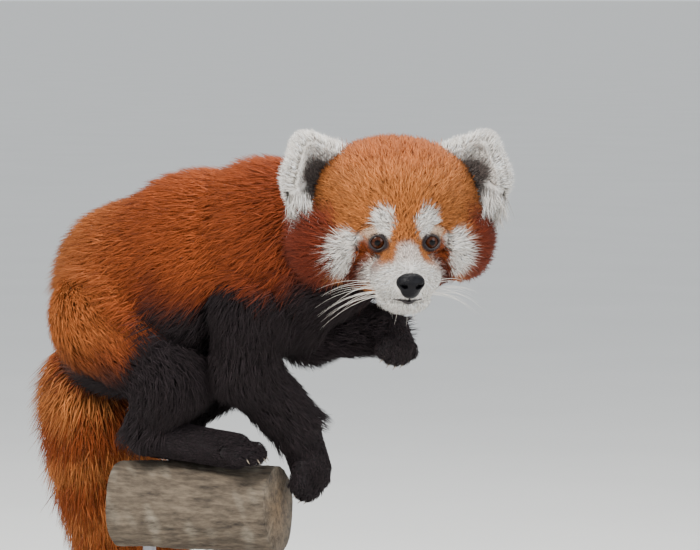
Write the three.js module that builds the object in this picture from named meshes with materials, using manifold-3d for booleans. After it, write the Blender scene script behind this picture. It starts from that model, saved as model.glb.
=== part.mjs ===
// A life-size red panda on a cut length of branch, with one forepaw raised.
// A plain display stand carries the branch.
// Millimetres, +Z up. +X is the way the trunk points and +Y is the animal's left.
// The origin is the centre of the stand's underside.
import * as THREE from "three";
import { mergeVertices } from "three/addons/utils/BufferGeometryUtils.js";
import Module from "manifold-3d";

const wasm = await Module();
wasm.setup();

// Driving sizes
const GAP = 0.3; // left between neighbouring pieces
const STAND_HEIGHT = 306; // floor to the top of the branch
const BASE_LENGTH = 380;
const BASE_WIDTH = 250;
const BASE_THICK = 16;
const ROD_RADIUS = 5;
const BRANCH_RADIUS = 33;
const EYE_RADIUS = 7.4;
const EYE_APART = 38; // centre to centre
const TAIL_COAT = 46; // half the tail's width, out to the tips of the coat
const TAIL_CORE = 30; // half the width of the tail's dense underfur

const at = (x, y, z) => new THREE.Vector3(x, y, z);

// The animal's own frame lies over the stand: z = 0 is the top of the branch.
const ANIMAL_AT = at(-15, 4, STAND_HEIGHT);

// The head's frame: its face looks along -y, its crown is +z, its left is +x.
const HEAD_AT = at(169, -23, 190);
const HEAD_TURN = THREE.MathUtils.degToRad(33.5);
const HEAD_NOD = THREE.MathUtils.degToRad(11);
const headPose = new THREE.Euler(HEAD_NOD, 0, HEAD_TURN, "ZYX");
const headMatrix = new THREE.Matrix4()
  .makeRotationFromEuler(headPose)
  .setPosition(HEAD_AT);
const headInverse = headMatrix.clone().invert();

// Joints of the trunk and the limbs, with the coat's half width at each
const TRUNK = [
  { p: at(55, 0, 166), r: 63 }, // withers
  { p: at(2, 0, 150), r: 67 }, // middle of the back
  { p: at(-47, 0, 126), r: 70 }, // hips
  { p: at(-70, 2, 98), r: 54 }, // rump
];
const CHEST = { p: at(58, 0, 130), r: 50 };
const BELLY = { p: at(0, 0, 128), r: 60 };
const NECK = [
  { p: at(70, -3, 170), r: 56 },
  { p: at(146, -8, 190), r: 50 },
];
const THROAT = [
  { p: at(78, 0, 136), r: 44 },
  { p: at(132, -14, 158), r: 34 },
];
const RIGHT_FORELEG = [
  { p: at(56, -32, 122), r: 38 },
  { p: at(46, -25, 74), r: 28 },
  { p: at(74, 8, 26), r: 19 },
];
const LEFT_FORELEG = [
  { p: at(58, 34, 124), r: 36 },
  { p: at(72, 30, 100), r: 27 },
  { p: at(143, 21, 101), r: 17 },
];
const RIGHT_HINDLEG = [
  { p: at(-60, -32, 108), r: 54 },
  { p: at(-8, -42, 64), r: 32 },
  { p: at(-30, -38, 20), r: 17 },
];
const LEFT_HINDLEG = [
  { p: at(-60, 32, 106), r: 52 },
  { p: at(-14, 34, 62), r: 30 },
  { p: at(-44, 8, 13), r: 17 },
];

// Each paw: where its ball lies, the way its toes point, the way its back faces, and the reach of its toes
const PAWS = {
  right_fore: {
    leg: RIGHT_FORELEG,
    ball: at(83, 12, -4),
    way: at(-0.12, 0, -1),
    back: at(1, 0, -0.1),
    reach: 26,
    wide: 10,
    toe: 8,
  },
  left_fore: {
    leg: LEFT_FORELEG,
    ball: at(152, 16, 92),
    way: at(0.02, -0.1, -1),
    back: at(1, -0.2, 0),
    reach: 17,
    wide: 8.4,
    toe: 7,
  },
  right_hind: {
    leg: RIGHT_HINDLEG,
    ball: at(44, -37, 12),
    way: at(1, 0.1, -0.2),
    back: at(0.2, 0, 1),
    reach: 24,
    wide: 9,
    toe: 7.6,
  },
  left_hind: {
    leg: LEFT_HINDLEG,
    ball: at(6, 8, 4),
    way: at(1, 0.1, -0.15),
    back: at(0.1, 0.3, 1),
    reach: 24,
    wide: 9.6,
    toe: 8,
  },
};

// The tail's line, from the rump down past the branch and forward over the base
const TAIL_LINE = new THREE.CatmullRomCurve3([
  at(-76, 2, 96),
  at(-104, 14, 62),
  at(-106, 28, 10),
  at(-94, 34, -45),
  at(-78, 38, -100),
  at(-52, 42, -156),
  at(-10, 48, -204),
  at(42, 54, -230),
]);

const COLOURS = {
  russet: "#a2461b",
  black: "#1c171b",
  white: "#efebe4",
  nose: "#15141c",
  eye: "#2a1610",
  bark: "#7d7263",
  wood: "#2b2a2b",
  steel: "#9a9a9c",
};

// Signed distances of simple forms: below zero inside
const ball = (c, r) => (x, y, z) => Math.hypot(x - c.x, y - c.y, z - c.z) - r;

function ovoid(c, radii) {
  const [rx, ry, rz] = radii;
  return (x, y, z) => {
    const [dx, dy, dz] = [(x - c.x) / rx, (y - c.y) / ry, (z - c.z) / rz];
    const k0 = Math.hypot(dx, dy, dz);
    const k1 = Math.hypot(dx / rx, dy / ry, dz / rz);
    return k1 > 1e-9 ? (k0 * (k0 - 1)) / k1 : -Math.min(rx, ry, rz);
  };
}

// A stick with round ends, whose half width runs from ra at a to rb at b
function stick(a, b, ra, rb) {
  const way = b.clone().sub(a);
  const long2 = way.lengthSq();
  return (x, y, z) => {
    const [px, py, pz] = [x - a.x, y - a.y, z - a.z];
    const dot = (px * way.x + py * way.y + pz * way.z) / long2;
    const h = Math.min(1, Math.max(0, dot));
    const off = Math.hypot(px - way.x * h, py - way.y * h, pz - way.z * h);
    return off - (ra + (rb - ra) * h);
  };
}

// The forms as one, with a fillet of about k where they meet
function blend(k, ...forms) {
  return (x, y, z) => {
    let d = forms[0](x, y, z);
    for (let i = 1; i < forms.length; i++) {
      const e = forms[i](x, y, z);
      const h = Math.max(k - Math.abs(d - e), 0) / k;
      d = Math.min(d, e) - h * h * k * 0.25;
    }
    return d;
  };
}

// Sticks through a row of joints
function chain(joints, k) {
  const sticks = joints
    .slice(1)
    .map((b, i) => stick(joints[i].p, b.p, joints[i].r, b.r));
  return blend(k, ...sticks);
}

// The mesh of the surface where field is zero:
// one corner in each cell that it crosses, one quad round each crossed edge
function surface(field, [xs, ys, zs]) {
  const [nx, ny, nz] = [xs.length, ys.length, zs.length];
  const node = (i, j, k) => (k * ny + j) * nx + i;
  const value = new Float64Array(nx * ny * nz);
  for (let k = 0; k < nz; k++)
    for (let j = 0; j < ny; j++)
      for (let i = 0; i < nx; i++) {
        const rim = !i || !j || !k || i === nx - 1 || j === ny - 1 || k === nz - 1;
        const d = field(xs[i], ys[j], zs[k]);
        value[node(i, j, k)] = rim ? Math.max(d, 1) : d || 1e-6;
      }
  mend(value, nx, ny, nz);
  const corners = [];
  const cell = new Map();
  const EDGES = [];
  for (let a = 0; a < 8; a++)
    for (const bit of [1, 2, 4]) if (!(a & bit)) EDGES.push([a, a | bit]);
  const place = (i, j, k, c) => [
    xs[i + (c & 1)],
    ys[j + ((c >> 1) & 1)],
    zs[k + (c >> 2)],
  ];
  for (let k = 0; k < nz - 1; k++)
    for (let j = 0; j < ny - 1; j++)
      for (let i = 0; i < nx - 1; i++) {
        const v = [0, 1, 2, 3, 4, 5, 6, 7].map(
          (c) => value[node(i + (c & 1), j + ((c >> 1) & 1), k + (c >> 2))],
        );
        if (v.every((d) => d > 0) || v.every((d) => d < 0)) continue;
        const sum = [0, 0, 0];
        let n = 0;
        for (const [a, b] of EDGES) {
          if (v[a] > 0 === v[b] > 0) continue;
          const t = v[a] / (v[a] - v[b]);
          const [pa, pb] = [place(i, j, k, a), place(i, j, k, b)];
          for (let m = 0; m < 3; m++) sum[m] += pa[m] + (pb[m] - pa[m]) * t;
          n++;
        }
        cell.set(node(i, j, k), corners.length / 3);
        const low = [xs[i], ys[j], zs[k]];
        const high = [xs[i + 1], ys[j + 1], zs[k + 1]];
        const spot = settle(field, sum.map((s) => s / n));
        spot.forEach((s, m) => {
          const rim = 0.08 * (high[m] - low[m]);
          corners.push(Math.min(high[m] - rim, Math.max(low[m] + rim, s)));
        });
      }
  const faces = [];
  const quad = (a, b, c, d, flip) => {
    const q = [a, b, c, d].map(([i, j, k]) => cell.get(node(i, j, k)));
    const far = (m, n) =>
      Math.hypot(...[0, 1, 2].map((s) => corners[3 * m + s] - corners[3 * n + s]));
    const [p, r, s, t] = flip ? [q[3], q[2], q[1], q[0]] : q;
    if (far(p, s) < far(r, t)) faces.push(p, r, s, p, s, t);
    else faces.push(p, r, t, r, s, t);
  };
  for (let k = 0; k < nz - 1; k++)
    for (let j = 0; j < ny - 1; j++)
      for (let i = 0; i < nx - 1; i++) {
        const here = value[node(i, j, k)] < 0;
        if (j && k && here !== value[node(i + 1, j, k)] < 0)
          quad([i, j - 1, k - 1], [i, j, k - 1], [i, j, k], [i, j - 1, k], !here);
        if (i && k && here !== value[node(i, j + 1, k)] < 0)
          quad([i - 1, j, k - 1], [i - 1, j, k], [i, j, k], [i, j, k - 1], !here);
        if (i && j && here !== value[node(i, j, k + 1)] < 0)
          quad([i - 1, j - 1, k], [i, j - 1, k], [i, j, k], [i - 1, j, k], !here);
      }
  return new wasm.Manifold(
    new wasm.Mesh({
      numProp: 3,
      vertProperties: new Float32Array(corners),
      triVerts: new Uint32Array(faces),
    }),
  );
}

// Which of a cell's 256 patterns would pinch the surface: its inside or its outside corners fall apart
const PINCHED = Array.from({ length: 256 }, (_, mask) => {
  const whole = (wanted) => {
    const corners = [0, 1, 2, 3, 4, 5, 6, 7].filter((c) => Boolean(mask & (1 << c)) === wanted);
    const seen = new Set(corners.slice(0, 1));
    for (const c of seen)
      for (const bit of [1, 2, 4]) if (corners.includes(c ^ bit)) seen.add(c ^ bit);
    return seen.size === corners.length;
  };
  return !whole(true) || !whole(false);
});

// Turns the nearest corner of each pinched cell, until none is left
function mend(value, nx, ny, nz) {
  for (let round = 0; round < 30; round++) {
    let turned = 0;
    for (let k = 0; k < nz - 1; k++)
      for (let j = 0; j < ny - 1; j++)
        for (let i = 0; i < nx - 1; i++) {
          const spots = [0, 1, 2, 3, 4, 5, 6, 7].map(
            (c) => ((k + (c >> 2)) * ny + j + ((c >> 1) & 1)) * nx + i + (c & 1),
          );
          const mask = spots.reduce((m, s, c) => m | (value[s] < 0 ? 1 << c : 0), 0);
          if (!PINCHED[mask]) continue;
          const inside = spots.filter((s) => value[s] < 0);
          const least = inside.reduce((a, b) => (value[b] > value[a] ? b : a));
          value[least] = 0.02;
          turned++;
        }
    if (!turned) return;
  }
}

// Moves a point onto the surface, down the field's slope
function settle(field, start) {
  const e = 0.2;
  let [x, y, z] = start;
  for (let step = 0; step < 3; step++) {
    const d = field(x, y, z);
    const g = [
      (field(x + e, y, z) - field(x - e, y, z)) / (2 * e),
      (field(x, y + e, z) - field(x, y - e, z)) / (2 * e),
      (field(x, y, z + e) - field(x, y, z - e)) / (2 * e),
    ];
    const g2 = Math.max(0.3, g[0] * g[0] + g[1] * g[1] + g[2] * g[2]);
    const by = Math.max(-1, Math.min(1, d)) / g2;
    [x, y, z] = [x - g[0] * by, y - g[1] * by, z - g[2] * by];
  }
  return [x, y, z];
}

// Evenly spaced grid lines over a box
function grid(low, high, step) {
  return ["x", "y", "z"].map((m) => {
    const n = Math.ceil((high[m] - low[m]) / step);
    return Array.from({ length: n + 1 }, (_, i) => low[m] + ((high[m] - low[m]) * i) / n);
  });
}

// Grid lines from low to high, whose step runs from fine at the point near to coarse at the far end
function finerNear(low, high, near, fine, coarse) {
  const reach = Math.max(near - low, high - near);
  const walk = (end) => {
    const lines = [];
    let v = near;
    while (Math.sign(end - near) * (end - v) > 0) {
      const share = Math.abs(v - near) / reach;
      v += Math.sign(end - near) * (fine + (coarse - fine) * share);
      lines.push(v);
    }
    return lines;
  };
  return [...walk(low).reverse(), near, ...walk(high)];
}

// A three.js geometry as a solid
function solid(geometry) {
  const g = geometry.index ? geometry.toNonIndexed() : geometry.clone();
  for (const name of Object.keys(g.attributes))
    if (name !== "position") g.deleteAttribute(name);
  const merged = mergeVertices(g, 1e-3);
  return new wasm.Manifold(
    new wasm.Mesh({
      numProp: 3,
      vertProperties: merged.attributes.position.array,
      triVerts: new Uint32Array(merged.index.array),
    }),
  );
}

// The one closed body of a solid that holds most
function largest(s) {
  return s.decompose().reduce((a, b) => (b.volume() > a.volume() ? b : a));
}

// A box with one face at p, from which it runs 400 mm along the way and reach to each side
function slab(p, way, reach, deep = 400) {
  const turn = new THREE.Quaternion().setFromUnitVectors(at(0, 0, 1), way.clone().normalize());
  const centre = p.clone().add(way.clone().normalize().multiplyScalar(deep / 2));
  return solid(
    new THREE.BoxGeometry(2 * reach, 2 * reach, deep).applyMatrix4(
      new THREE.Matrix4().compose(centre, turn, at(1, 1, 1)),
    ),
  );
}

// A named mesh with its own finish
function piece(name, shape, colour, roughness, metalness = 0) {
  const m = shape.getMesh();
  const v = new Float32Array(m.numVert * 3);
  for (let i = 0; i < m.numVert; i++)
    v.set(m.vertProperties.subarray(i * m.numProp, i * m.numProp + 3), i * 3);
  const g = new THREE.BufferGeometry()
    .setAttribute("position", new THREE.BufferAttribute(v, 3))
    .setIndex(new THREE.BufferAttribute(m.triVerts, 1));
  g.computeVertexNormals();
  const finish = { color: colour, roughness, metalness, flatShading: true };
  const mesh = new THREE.Mesh(g, new THREE.MeshStandardMaterial(finish));
  mesh.name = name;
  return mesh;
}

// The head in its own frame, without the parts that grow on it
const MUZZLE = at(0, -57, -31);
const headForm = blend(
  11,
  ovoid(at(0, 5, 5), [59, 52, 47]), // braincase and its coat
  ovoid(at(0, -22, 4), [43, 29, 33]), // brow
  ovoid(at(-43, -5, -15), [27, 33, 33]), // cheeks
  ovoid(at(43, -5, -15), [27, 33, 33]),
  ovoid(at(0, -12, -34), [42, 34, 22]), // jaw
  stick(at(0, -34, -8), at(0, -68, -23), 17, 11), // bridge of the nose
  ovoid(MUZZLE, [26, 26, 19]),
  ovoid(at(0, -50, -47), [18, 20, 11]), // chin
);

function inHead(x, y, z) {
  const m = headInverse.elements;
  return [
    m[0] * x + m[4] * y + m[8] * z + m[12],
    m[1] * x + m[5] * y + m[9] * z + m[13],
    m[2] * x + m[6] * y + m[10] * z + m[14],
  ];
}

function fromHead(x, y, z) {
  const m = headMatrix.elements;
  return [
    m[0] * x + m[4] * y + m[8] * z + m[12],
    m[1] * x + m[5] * y + m[9] * z + m[13],
    m[2] * x + m[6] * y + m[10] * z + m[14],
  ];
}

// A paw's sole and five toes
function pawForm({ leg, ball: pad, way, back, reach, wide, toe }) {
  const root = leg.at(-1);
  const ahead = way.clone().normalize();
  const side = new THREE.Vector3().crossVectors(back, ahead).normalize();
  const toes = [-2, -1, 0, 1, 2].map((n) => {
    const start = pad.clone().addScaledVector(side, n * wide * 0.8);
    const length = reach * (1 - 0.07 * n * n);
    const end = pad.clone().addScaledVector(side, n * wide).addScaledVector(ahead, length - toe);
    return stick(start, end, toe * 1.05, toe);
  });
  const sole = stick(root.p, pad, root.r, wide * 1.7);
  return blend(4, blend(3, ...toes), sole);
}

const trunk = blend(24, chain(TRUNK, 20), ball(CHEST.p, CHEST.r), ball(BELLY.p, BELLY.r));
const neck = blend(18, chain(NECK, 10), chain(THROAT, 10));
const legs = Object.fromEntries(
  Object.entries(PAWS).map(([name, paw]) => [
    name,
    blend(6, chain(paw.leg, 12), pawForm(paw)),
  ]),
);
const headHere = (x, y, z) => headForm(...inHead(x, y, z));
const animal = blend(
  13,
  blend(20, trunk, neck, headHere),
  legs.right_fore,
  legs.left_fore,
  legs.right_hind,
  legs.left_hind,
);

// The branch: a crooked length with a swelling at an old knot, grown by a little where room is cut for it
const BRANCH_FRONT = at(68, -13, -BRANCH_RADIUS);
const BRANCH_BACK = at(-57, -28, -BRANCH_RADIUS);
function branch(grow) {
  const along = BRANCH_BACK.clone().sub(BRANCH_FRONT);
  const ahead = along.clone().normalize();
  const side = new THREE.Vector3().crossVectors(at(0, 0, 1), ahead).normalize();
  const [rings, sides] = [12, 22];
  const points = [];
  for (let i = 0; i <= rings; i++) {
    const s = i / rings;
    for (let j = 0; j < sides; j++) {
      const turn = (2 * Math.PI * j) / sides;
      const knot = 3.5 * Math.exp(-(((s - 0.62) / 0.13) ** 2)) * Math.max(0, Math.cos(turn - 3.6));
      const worn = 0.7 * Math.sin(3 * turn + 5 * s) + 0.5 * Math.sin(5 * turn - 9 * s);
      const flat = Math.max(0, Math.sin(turn)) * -0.4;
      const r = BRANCH_RADIUS + worn + knot + flat + grow;
      const lean = (i === 0 ? -grow : i === rings ? grow : 0) + (i === 0 ? 1.5 * Math.sin(turn) : 0);
      points.push(
        BRANCH_FRONT.clone()
          .addScaledVector(along, s)
          .addScaledVector(ahead, lean)
          .addScaledVector(side, Math.cos(turn) * r)
          .addScaledVector(at(0, 0, 1), Math.sin(turn) * r),
      );
    }
  }
  const ends = [points.slice(0, sides), points.slice(-sides)].map((ring) =>
    ring.reduce((a, b) => a.add(b), at(0, 0, 0)).divideScalar(sides),
  );
  return loft(points, sides, ends);
}

// A closed tube through rings of points, with a middle point for each end
function loft(points, sides, [first, last]) {
  const rings = points.length / sides;
  const corners = [...points, first, last].flatMap((p) => p.toArray());
  const [a, b] = [points.length, points.length + 1];
  const faces = [];
  for (let j = 0; j < sides; j++) {
    const n = (j + 1) % sides;
    faces.push(a, n, j, b, (rings - 1) * sides + j, (rings - 1) * sides + n);
    for (let i = 0; i < rings - 1; i++) {
      const [p, q, r, s] = [i * sides + j, i * sides + n, (i + 1) * sides + j, (i + 1) * sides + n];
      faces.push(p, q, r, q, s, r);
    }
  }
  const shape = new wasm.Manifold(
    new wasm.Mesh({
      numProp: 3,
      vertProperties: new Float32Array(corners),
      triVerts: new Uint32Array(faces),
    }),
  );
  return shape;
}


// A box that claims one part of the body. One face is centred on p, the box runs deep along its way,
// wide to each side along side and tall to each side across both. It can be grown on all faces.
function claim({ p, way, side, wide, tall, deep }) {
  const z = way.clone().normalize();
  const x = side.clone().addScaledVector(z, -side.dot(z)).normalize();
  const y = new THREE.Vector3().crossVectors(z, x);
  return (grow = 0) =>
    solid(
      new THREE.BoxGeometry(2 * (wide + grow), 2 * (tall + grow), deep + 2 * grow)
        .applyMatrix4(new THREE.Matrix4().makeBasis(x, y, z))
        .translate(...p.clone().addScaledVector(z, deep / 2).toArray()),
    );
}

const CLAIMS = {
  head: claim({
    p: at(0, 24, 0).applyMatrix4(headMatrix),
    way: at(0, -1, 0).transformDirection(headMatrix),
    side: at(1, 0, 0).transformDirection(headMatrix),
    wide: 100,
    tall: 90,
    deep: 150,
  }),
  neck: claim({ p: at(86, -3, 194), way: at(1, -0.1, 0), side: at(0, 1, 0), wide: 90, tall: 74, deep: 90 }),
  right_fore: claim({
    p: at(66, -6, 92),
    way: at(0.1, -0.16, -1),
    side: at(1, 0, 0),
    wide: 46,
    tall: 62,
    deep: 70,
  }),
  left_fore: claim({
    p: at(84, 30, 98),
    way: at(1, 0, -0.12),
    side: at(0, 1, 0),
    wide: 46,
    tall: 30,
    deep: 120,
  }),
  right_hind: claim({
    p: at(-50, -40, 92),
    way: at(0.12, -0.36, -1),
    side: at(1, 0, 0),
    wide: 68,
    tall: 42,
    deep: 120,
  }),
  left_hind: claim({
    p: at(-54, 40, 92),
    way: at(0.05, 0.3, -1),
    side: at(1, 0, 0),
    wide: 64,
    tall: 42,
    deep: 120,
  }),
};
const PAW_CLAIMS = {
  right_fore: claim({
    p: at(76, 10, 26),
    way: at(0.15, 0, -1),
    side: at(0, 1, 0),
    wide: 60,
    tall: 60,
    deep: 90,
  }),
  left_fore: claim({
    p: at(136, 21, 98),
    way: at(0.8, -0.1, -0.5),
    side: at(0, 1, 0),
    wide: 50,
    tall: 60,
    deep: 90,
  }),
  right_hind: claim({
    p: at(-8, -38, 16),
    way: at(1, 0.1, -0.5),
    side: at(0, 1, 0),
    wide: 34,
    tall: 28,
    deep: 100,
  }),
  left_hind: claim({
    p: at(-20, 8, 10),
    way: at(1, 0.1, -0.5),
    side: at(0, 1, 0),
    wide: 34,
    tall: 28,
    deep: 100,
  }),
};
const TAIL_SHARES = [0.13, 0.42, 0.7]; // where the tail is parted, as shares of its line

// The tail's half width along its line, by the reach of its coat
function tailWidth(s, full) {
  const swell = Math.min(1, 0.62 + 1.6 * s);
  const taper = s > 0.62 ? 1 - 0.34 * ((s - 0.62) / 0.38) ** 2 : 1;
  return full * swell * taper;
}

function tailForm(full) {
  const joints = [];
  for (let i = 0; i <= 20; i++)
    joints.push({ p: TAIL_LINE.getPoint(i / 20), r: tailWidth(i / 20, full) });
  return chain(joints, 6);
}

const tailCoat = tailForm(TAIL_COAT);
const stubs = Object.values(PAWS).map(({ leg }) => stick(leg[0].p, leg[1].p, leg[0].r, leg[1].r));
const body = blend(13, blend(20, trunk, neck, headHere), ...stubs);

const tailCut = (s) => {
  const p = TAIL_LINE.getPoint(s);
  const way = TAIL_LINE.getTangent(s);
  return claim({ p, way, side: at(0, 1, 0), wide: 110, tall: 110, deep: 400 });
};
const tailCuts = TAIL_SHARES.map(tailCut);

// The branch is trimmed by what lies on it
const branchSolid = branch(0);
const branchGrown = branch(GAP);

const nodes = [];
function keep(name, shape, colour, roughness = 0.9) {
  nodes.push([name, largest(shape), colour, roughness]);
}

// The tail in its lengths
const tailGrid = grid(at(-190, -60, -300), at(110, 120, 130), 13);
const tailWhole = blend(16, tailCoat, trunk);
const tailSolid = surface(tailWhole, tailGrid);
const tailRoom = surface((x, y, z) => tailWhole(x, y, z) - GAP - 0.9, tailGrid).intersect(tailCuts[0](GAP));
tailCuts.forEach((cut, i) => {
  let length = tailSolid.intersect(cut());
  if (tailCuts[i + 1]) length = length.subtract(tailCuts[i + 1](GAP));
  keep("tail_" + (i + 1), length.subtract(branchGrown), COLOURS.russet);
});


// The trunk, with everything else taken away
const torsoForm = blend(16, body, tailCoat);
let torso = surface(torsoForm, grid(at(-175, -105, -10), at(130, 105, 250), 15));
const torsoCuts = [
  ...Object.values(CLAIMS),
  PAW_CLAIMS.right_hind,
  PAW_CLAIMS.left_hind,
  tailCuts[0],
];
for (const box of torsoCuts) {
  torso = torso.subtract(box(GAP));
}
keep("torso", torso, COLOURS.russet);

const neckForm = blend(18, trunk, neck, headHere);
const neckSolid = surface(neckForm, grid(at(60, -110, 100), at(190, 100, 260), 13));
keep(
  "neck",
  neckSolid.intersect(CLAIMS.neck())
    .subtract(CLAIMS.head(GAP))
    .subtract(CLAIMS.left_fore(GAP))
    .subtract(CLAIMS.right_fore(GAP)),
  COLOURS.russet,
);

const LEG_BOXES = {
  right_fore: [at(0, -75, -55), at(130, 60, 115)],
  left_fore: [at(60, -30, 50), at(190, 90, 140)],
  right_hind: [at(-140, -110, -40), at(90, 20, 130)],
  left_hind: [at(-140, -45, -40), at(70, 110, 130)],
};
const LEG_NAMES = {
  right_fore: ["foreleg_right", "forepaw_right"],
  left_fore: ["foreleg_left", "forepaw_left"],
  right_hind: ["hindleg_right", "hindpaw_right"],
  left_hind: ["hindleg_left", "hindpaw_left"],
};
const taken = [];
for (const [name, [low, high]] of Object.entries(LEG_BOXES)) {
  const [legName, pawName] = LEG_NAMES[name];
  const paw = PAW_CLAIMS[name];
  const form = blend(13, trunk, legs[name]);
  const leg = surface(form, grid(low, high, 10.5)).intersect(CLAIMS[name]());
  const free = taken.reduce((rest, box) => rest.subtract(box(GAP)), leg.subtract(paw(GAP)));
  taken.push(CLAIMS[name], paw);
  keep(legName, free.subtract(tailRoom).subtract(branchGrown), COLOURS.black);
  const { ball: pad, leg: joints } = PAWS[name];
  const reach = at(46, 46, 46);
  const [from, to] = [pad.clone().min(joints[2].p).sub(reach), pad.clone().max(joints[2].p).add(reach)];
  const pawSolid = surface(legs[name], grid(from, to, 6)).intersect(paw());
  keep(pawName, pawSolid.subtract(branchGrown), COLOURS.black);
}


// The head in its own frame
const neckInHead = (x, y, z) => neck(...fromHead(x, y, z));
const headWhole = blend(18, headForm, neckInHead);
const headGrid = [
  finerNear(-82, 82, 0, 4.2, 11),
  finerNear(-94, 34, -62, 4.2, 12),
  finerNear(-76, 62, -34, 4.2, 12),
];
const headClaim = solid(new THREE.BoxGeometry(200, 150, 180).translate(0, 24 - 75, 0));

// The eyes look forward and a little out
const EYES = [1, -1].map((half) => ({
  half,
  at: at(half * (EYE_APART / 2), -42, -9),
  look: at(half * 0.2, -1, 0.02).normalize(),
}));

const lidForms = EYES.map(({ at: c }) => ball(c, EYE_RADIUS + 2.1));
let headSolid = surface(blend(3, headWhole, ...lidForms), headGrid).intersect(headClaim);

// The lips: a ridge below the mouth line, then the line itself and the cleft under the nose
const onSkin = (x, y, z) => {
  let spot = [x, y, z];
  for (let i = 0; i < 6; i++) spot = settle(headForm, spot);
  return at(...spot);
};
const LIP_LINE = [-25, -19, -12, -6, 0, 6, 12, 19, 25].map((x) =>
  onSkin(x, -80 + 0.042 * x * x, -46.5 + 0.0075 * x * x - 1.4 * Math.exp(-((x / 5) ** 2))),
);
function cord(points, r, sides = 6) {
  const shape = new THREE.Shape();
  for (let i = 0; i <= sides; i++) {
    const turn = (2 * Math.PI * i) / sides;
    if (i) shape.lineTo(r * Math.cos(turn), r * Math.sin(turn));
    else shape.moveTo(r, 0);
  }
  const path = new THREE.CatmullRomCurve3(points);
  return solid(
    new THREE.ExtrudeGeometry(shape, { steps: points.length * 2, extrudePath: path, bevelEnabled: false }),
  );
}
const lowerLip = cord(LIP_LINE.slice(2, -2).map((p) => p.clone().add(at(0, 1.2, -2.6))), 2);
const mouthLine = cord(LIP_LINE, 1.3);
const cleft = cord([onSkin(0, -86, -34), onSkin(0, -84, -40), onSkin(0, -80, -47)], 1);
headSolid = headSolid.add(lowerLip).subtract(mouthLine).subtract(cleft);

// The nose pad with its two nostrils
const NOSE = at(0, -79, -27);
const padForm = blend(
  3,
  ovoid(NOSE, [9.5, 7.5, 6]),
  ovoid(at(0, -78, -31), [5.5, 7, 5]),
);
const padGrid = grid(at(-12, -92, -40), at(12, -66, -18), 2.6);
const pad = surface(padForm, padGrid);
const padRoom = surface((x, y, z) => padForm(x, y, z) - GAP - 0.15, padGrid);
const nostrils = [1, -1].map((half) =>
  cord([at(half * 3.6, -90, -28.5), at(half * 4.6, -84, -28), at(half * 7, -80.5, -27.4)], 1.5),
);
let nose = pad.intersect(solid(new THREE.BoxGeometry(40, 40, 40).translate(0, -76 - 20, -27)));
nose = nose.subtract(nostrils[0]).subtract(nostrils[1]);
const noseRoom = padRoom.intersect(
  solid(new THREE.BoxGeometry(40, 40, 40).translate(0, -76 - 20 + GAP, -27)),
);
headSolid = headSolid.subtract(noseRoom);

// The eyes in their sockets, with the lids' almond openings
const eyes = EYES.map(({ half, at: c, look }) => {
  const globe = solid(new THREE.IcosahedronGeometry(EYE_RADIUS, 2).translate(...c.toArray()));
  const socket = solid(new THREE.IcosahedronGeometry(EYE_RADIUS + GAP + 0.25, 2).translate(...c.toArray()));
  const almond = new THREE.Shape();
  for (let i = 0; i <= 16; i++) {
    const turn = (2 * Math.PI * i) / 16;
    const [x, y] = [5.7 * Math.cos(turn), 4.9 * Math.sin(turn) * (1 - 0.12 * Math.cos(2 * turn))];
    if (i) almond.lineTo(x, y);
    else almond.moveTo(x, y);
  }
  const turn = new THREE.Quaternion().setFromUnitVectors(at(0, 0, 1), look);
  const opening = solid(
    new THREE.ExtrudeGeometry(almond, { depth: 16, bevelEnabled: false }).applyMatrix4(
      new THREE.Matrix4().compose(c, turn, at(1, 1, 1)),
    ),
  );
  headSolid = headSolid.subtract(socket).subtract(opening);
  return [half > 0 ? "eye_left" : "eye_right", globe];
});

// The ears: cups that open forward and a little out
const earForm = (x, y, z) => {
  const outer = ovoid(at(0, 0, 4), [27, 13, 37])(x, y, z);
  const hollow = ovoid(at(0, -10, 6), [20.5, 14, 29])(x, y, z);
  return Math.max(outer, -hollow);
};
const earShape = surface(earForm, grid(at(-30, -17, -36), at(30, 17, 44), 5.2));
const EAR_POSES = [1, -1].map((half) => ({
  name: half > 0 ? "ear_left" : "ear_right",
  position: at(half * 54, 8, 20),
  rotation: new THREE.Euler(-0.12, half * 0.5, half * -0.12, "YXZ"),
}));
const headRoom = surface((x, y, z) => headWhole(x, y, z) - GAP - 0.6, headGrid);
const ears = EAR_POSES.map(({ name, position, rotation }) => {
  const pose = new THREE.Matrix4().makeRotationFromEuler(rotation).setPosition(position);
  const back = pose.clone().invert();
  return { name, position, rotation, shape: earShape.subtract(headRoom.transform(back.elements)) };
});

const root = new THREE.Group();
const panda = new THREE.Group();
panda.name = "panda";
panda.position.copy(ANIMAL_AT);
root.add(panda);

const headGroup = new THREE.Group();
headGroup.name = "head_group";
headGroup.position.copy(HEAD_AT);
headGroup.rotation.copy(headPose);
panda.add(headGroup);
headGroup.add(piece("head", largest(headSolid), COLOURS.russet, 0.9));
headGroup.add(piece("nose", largest(nose), COLOURS.nose, 0.4));
for (const [name, globe] of eyes) headGroup.add(piece(name, globe, COLOURS.eye, 0.1));
for (const { name, position, rotation, shape } of ears) {
  const mesh = piece(name, largest(shape), COLOURS.white, 0.9);
  mesh.position.copy(position);
  mesh.rotation.copy(rotation);
  headGroup.add(mesh);
}

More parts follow.
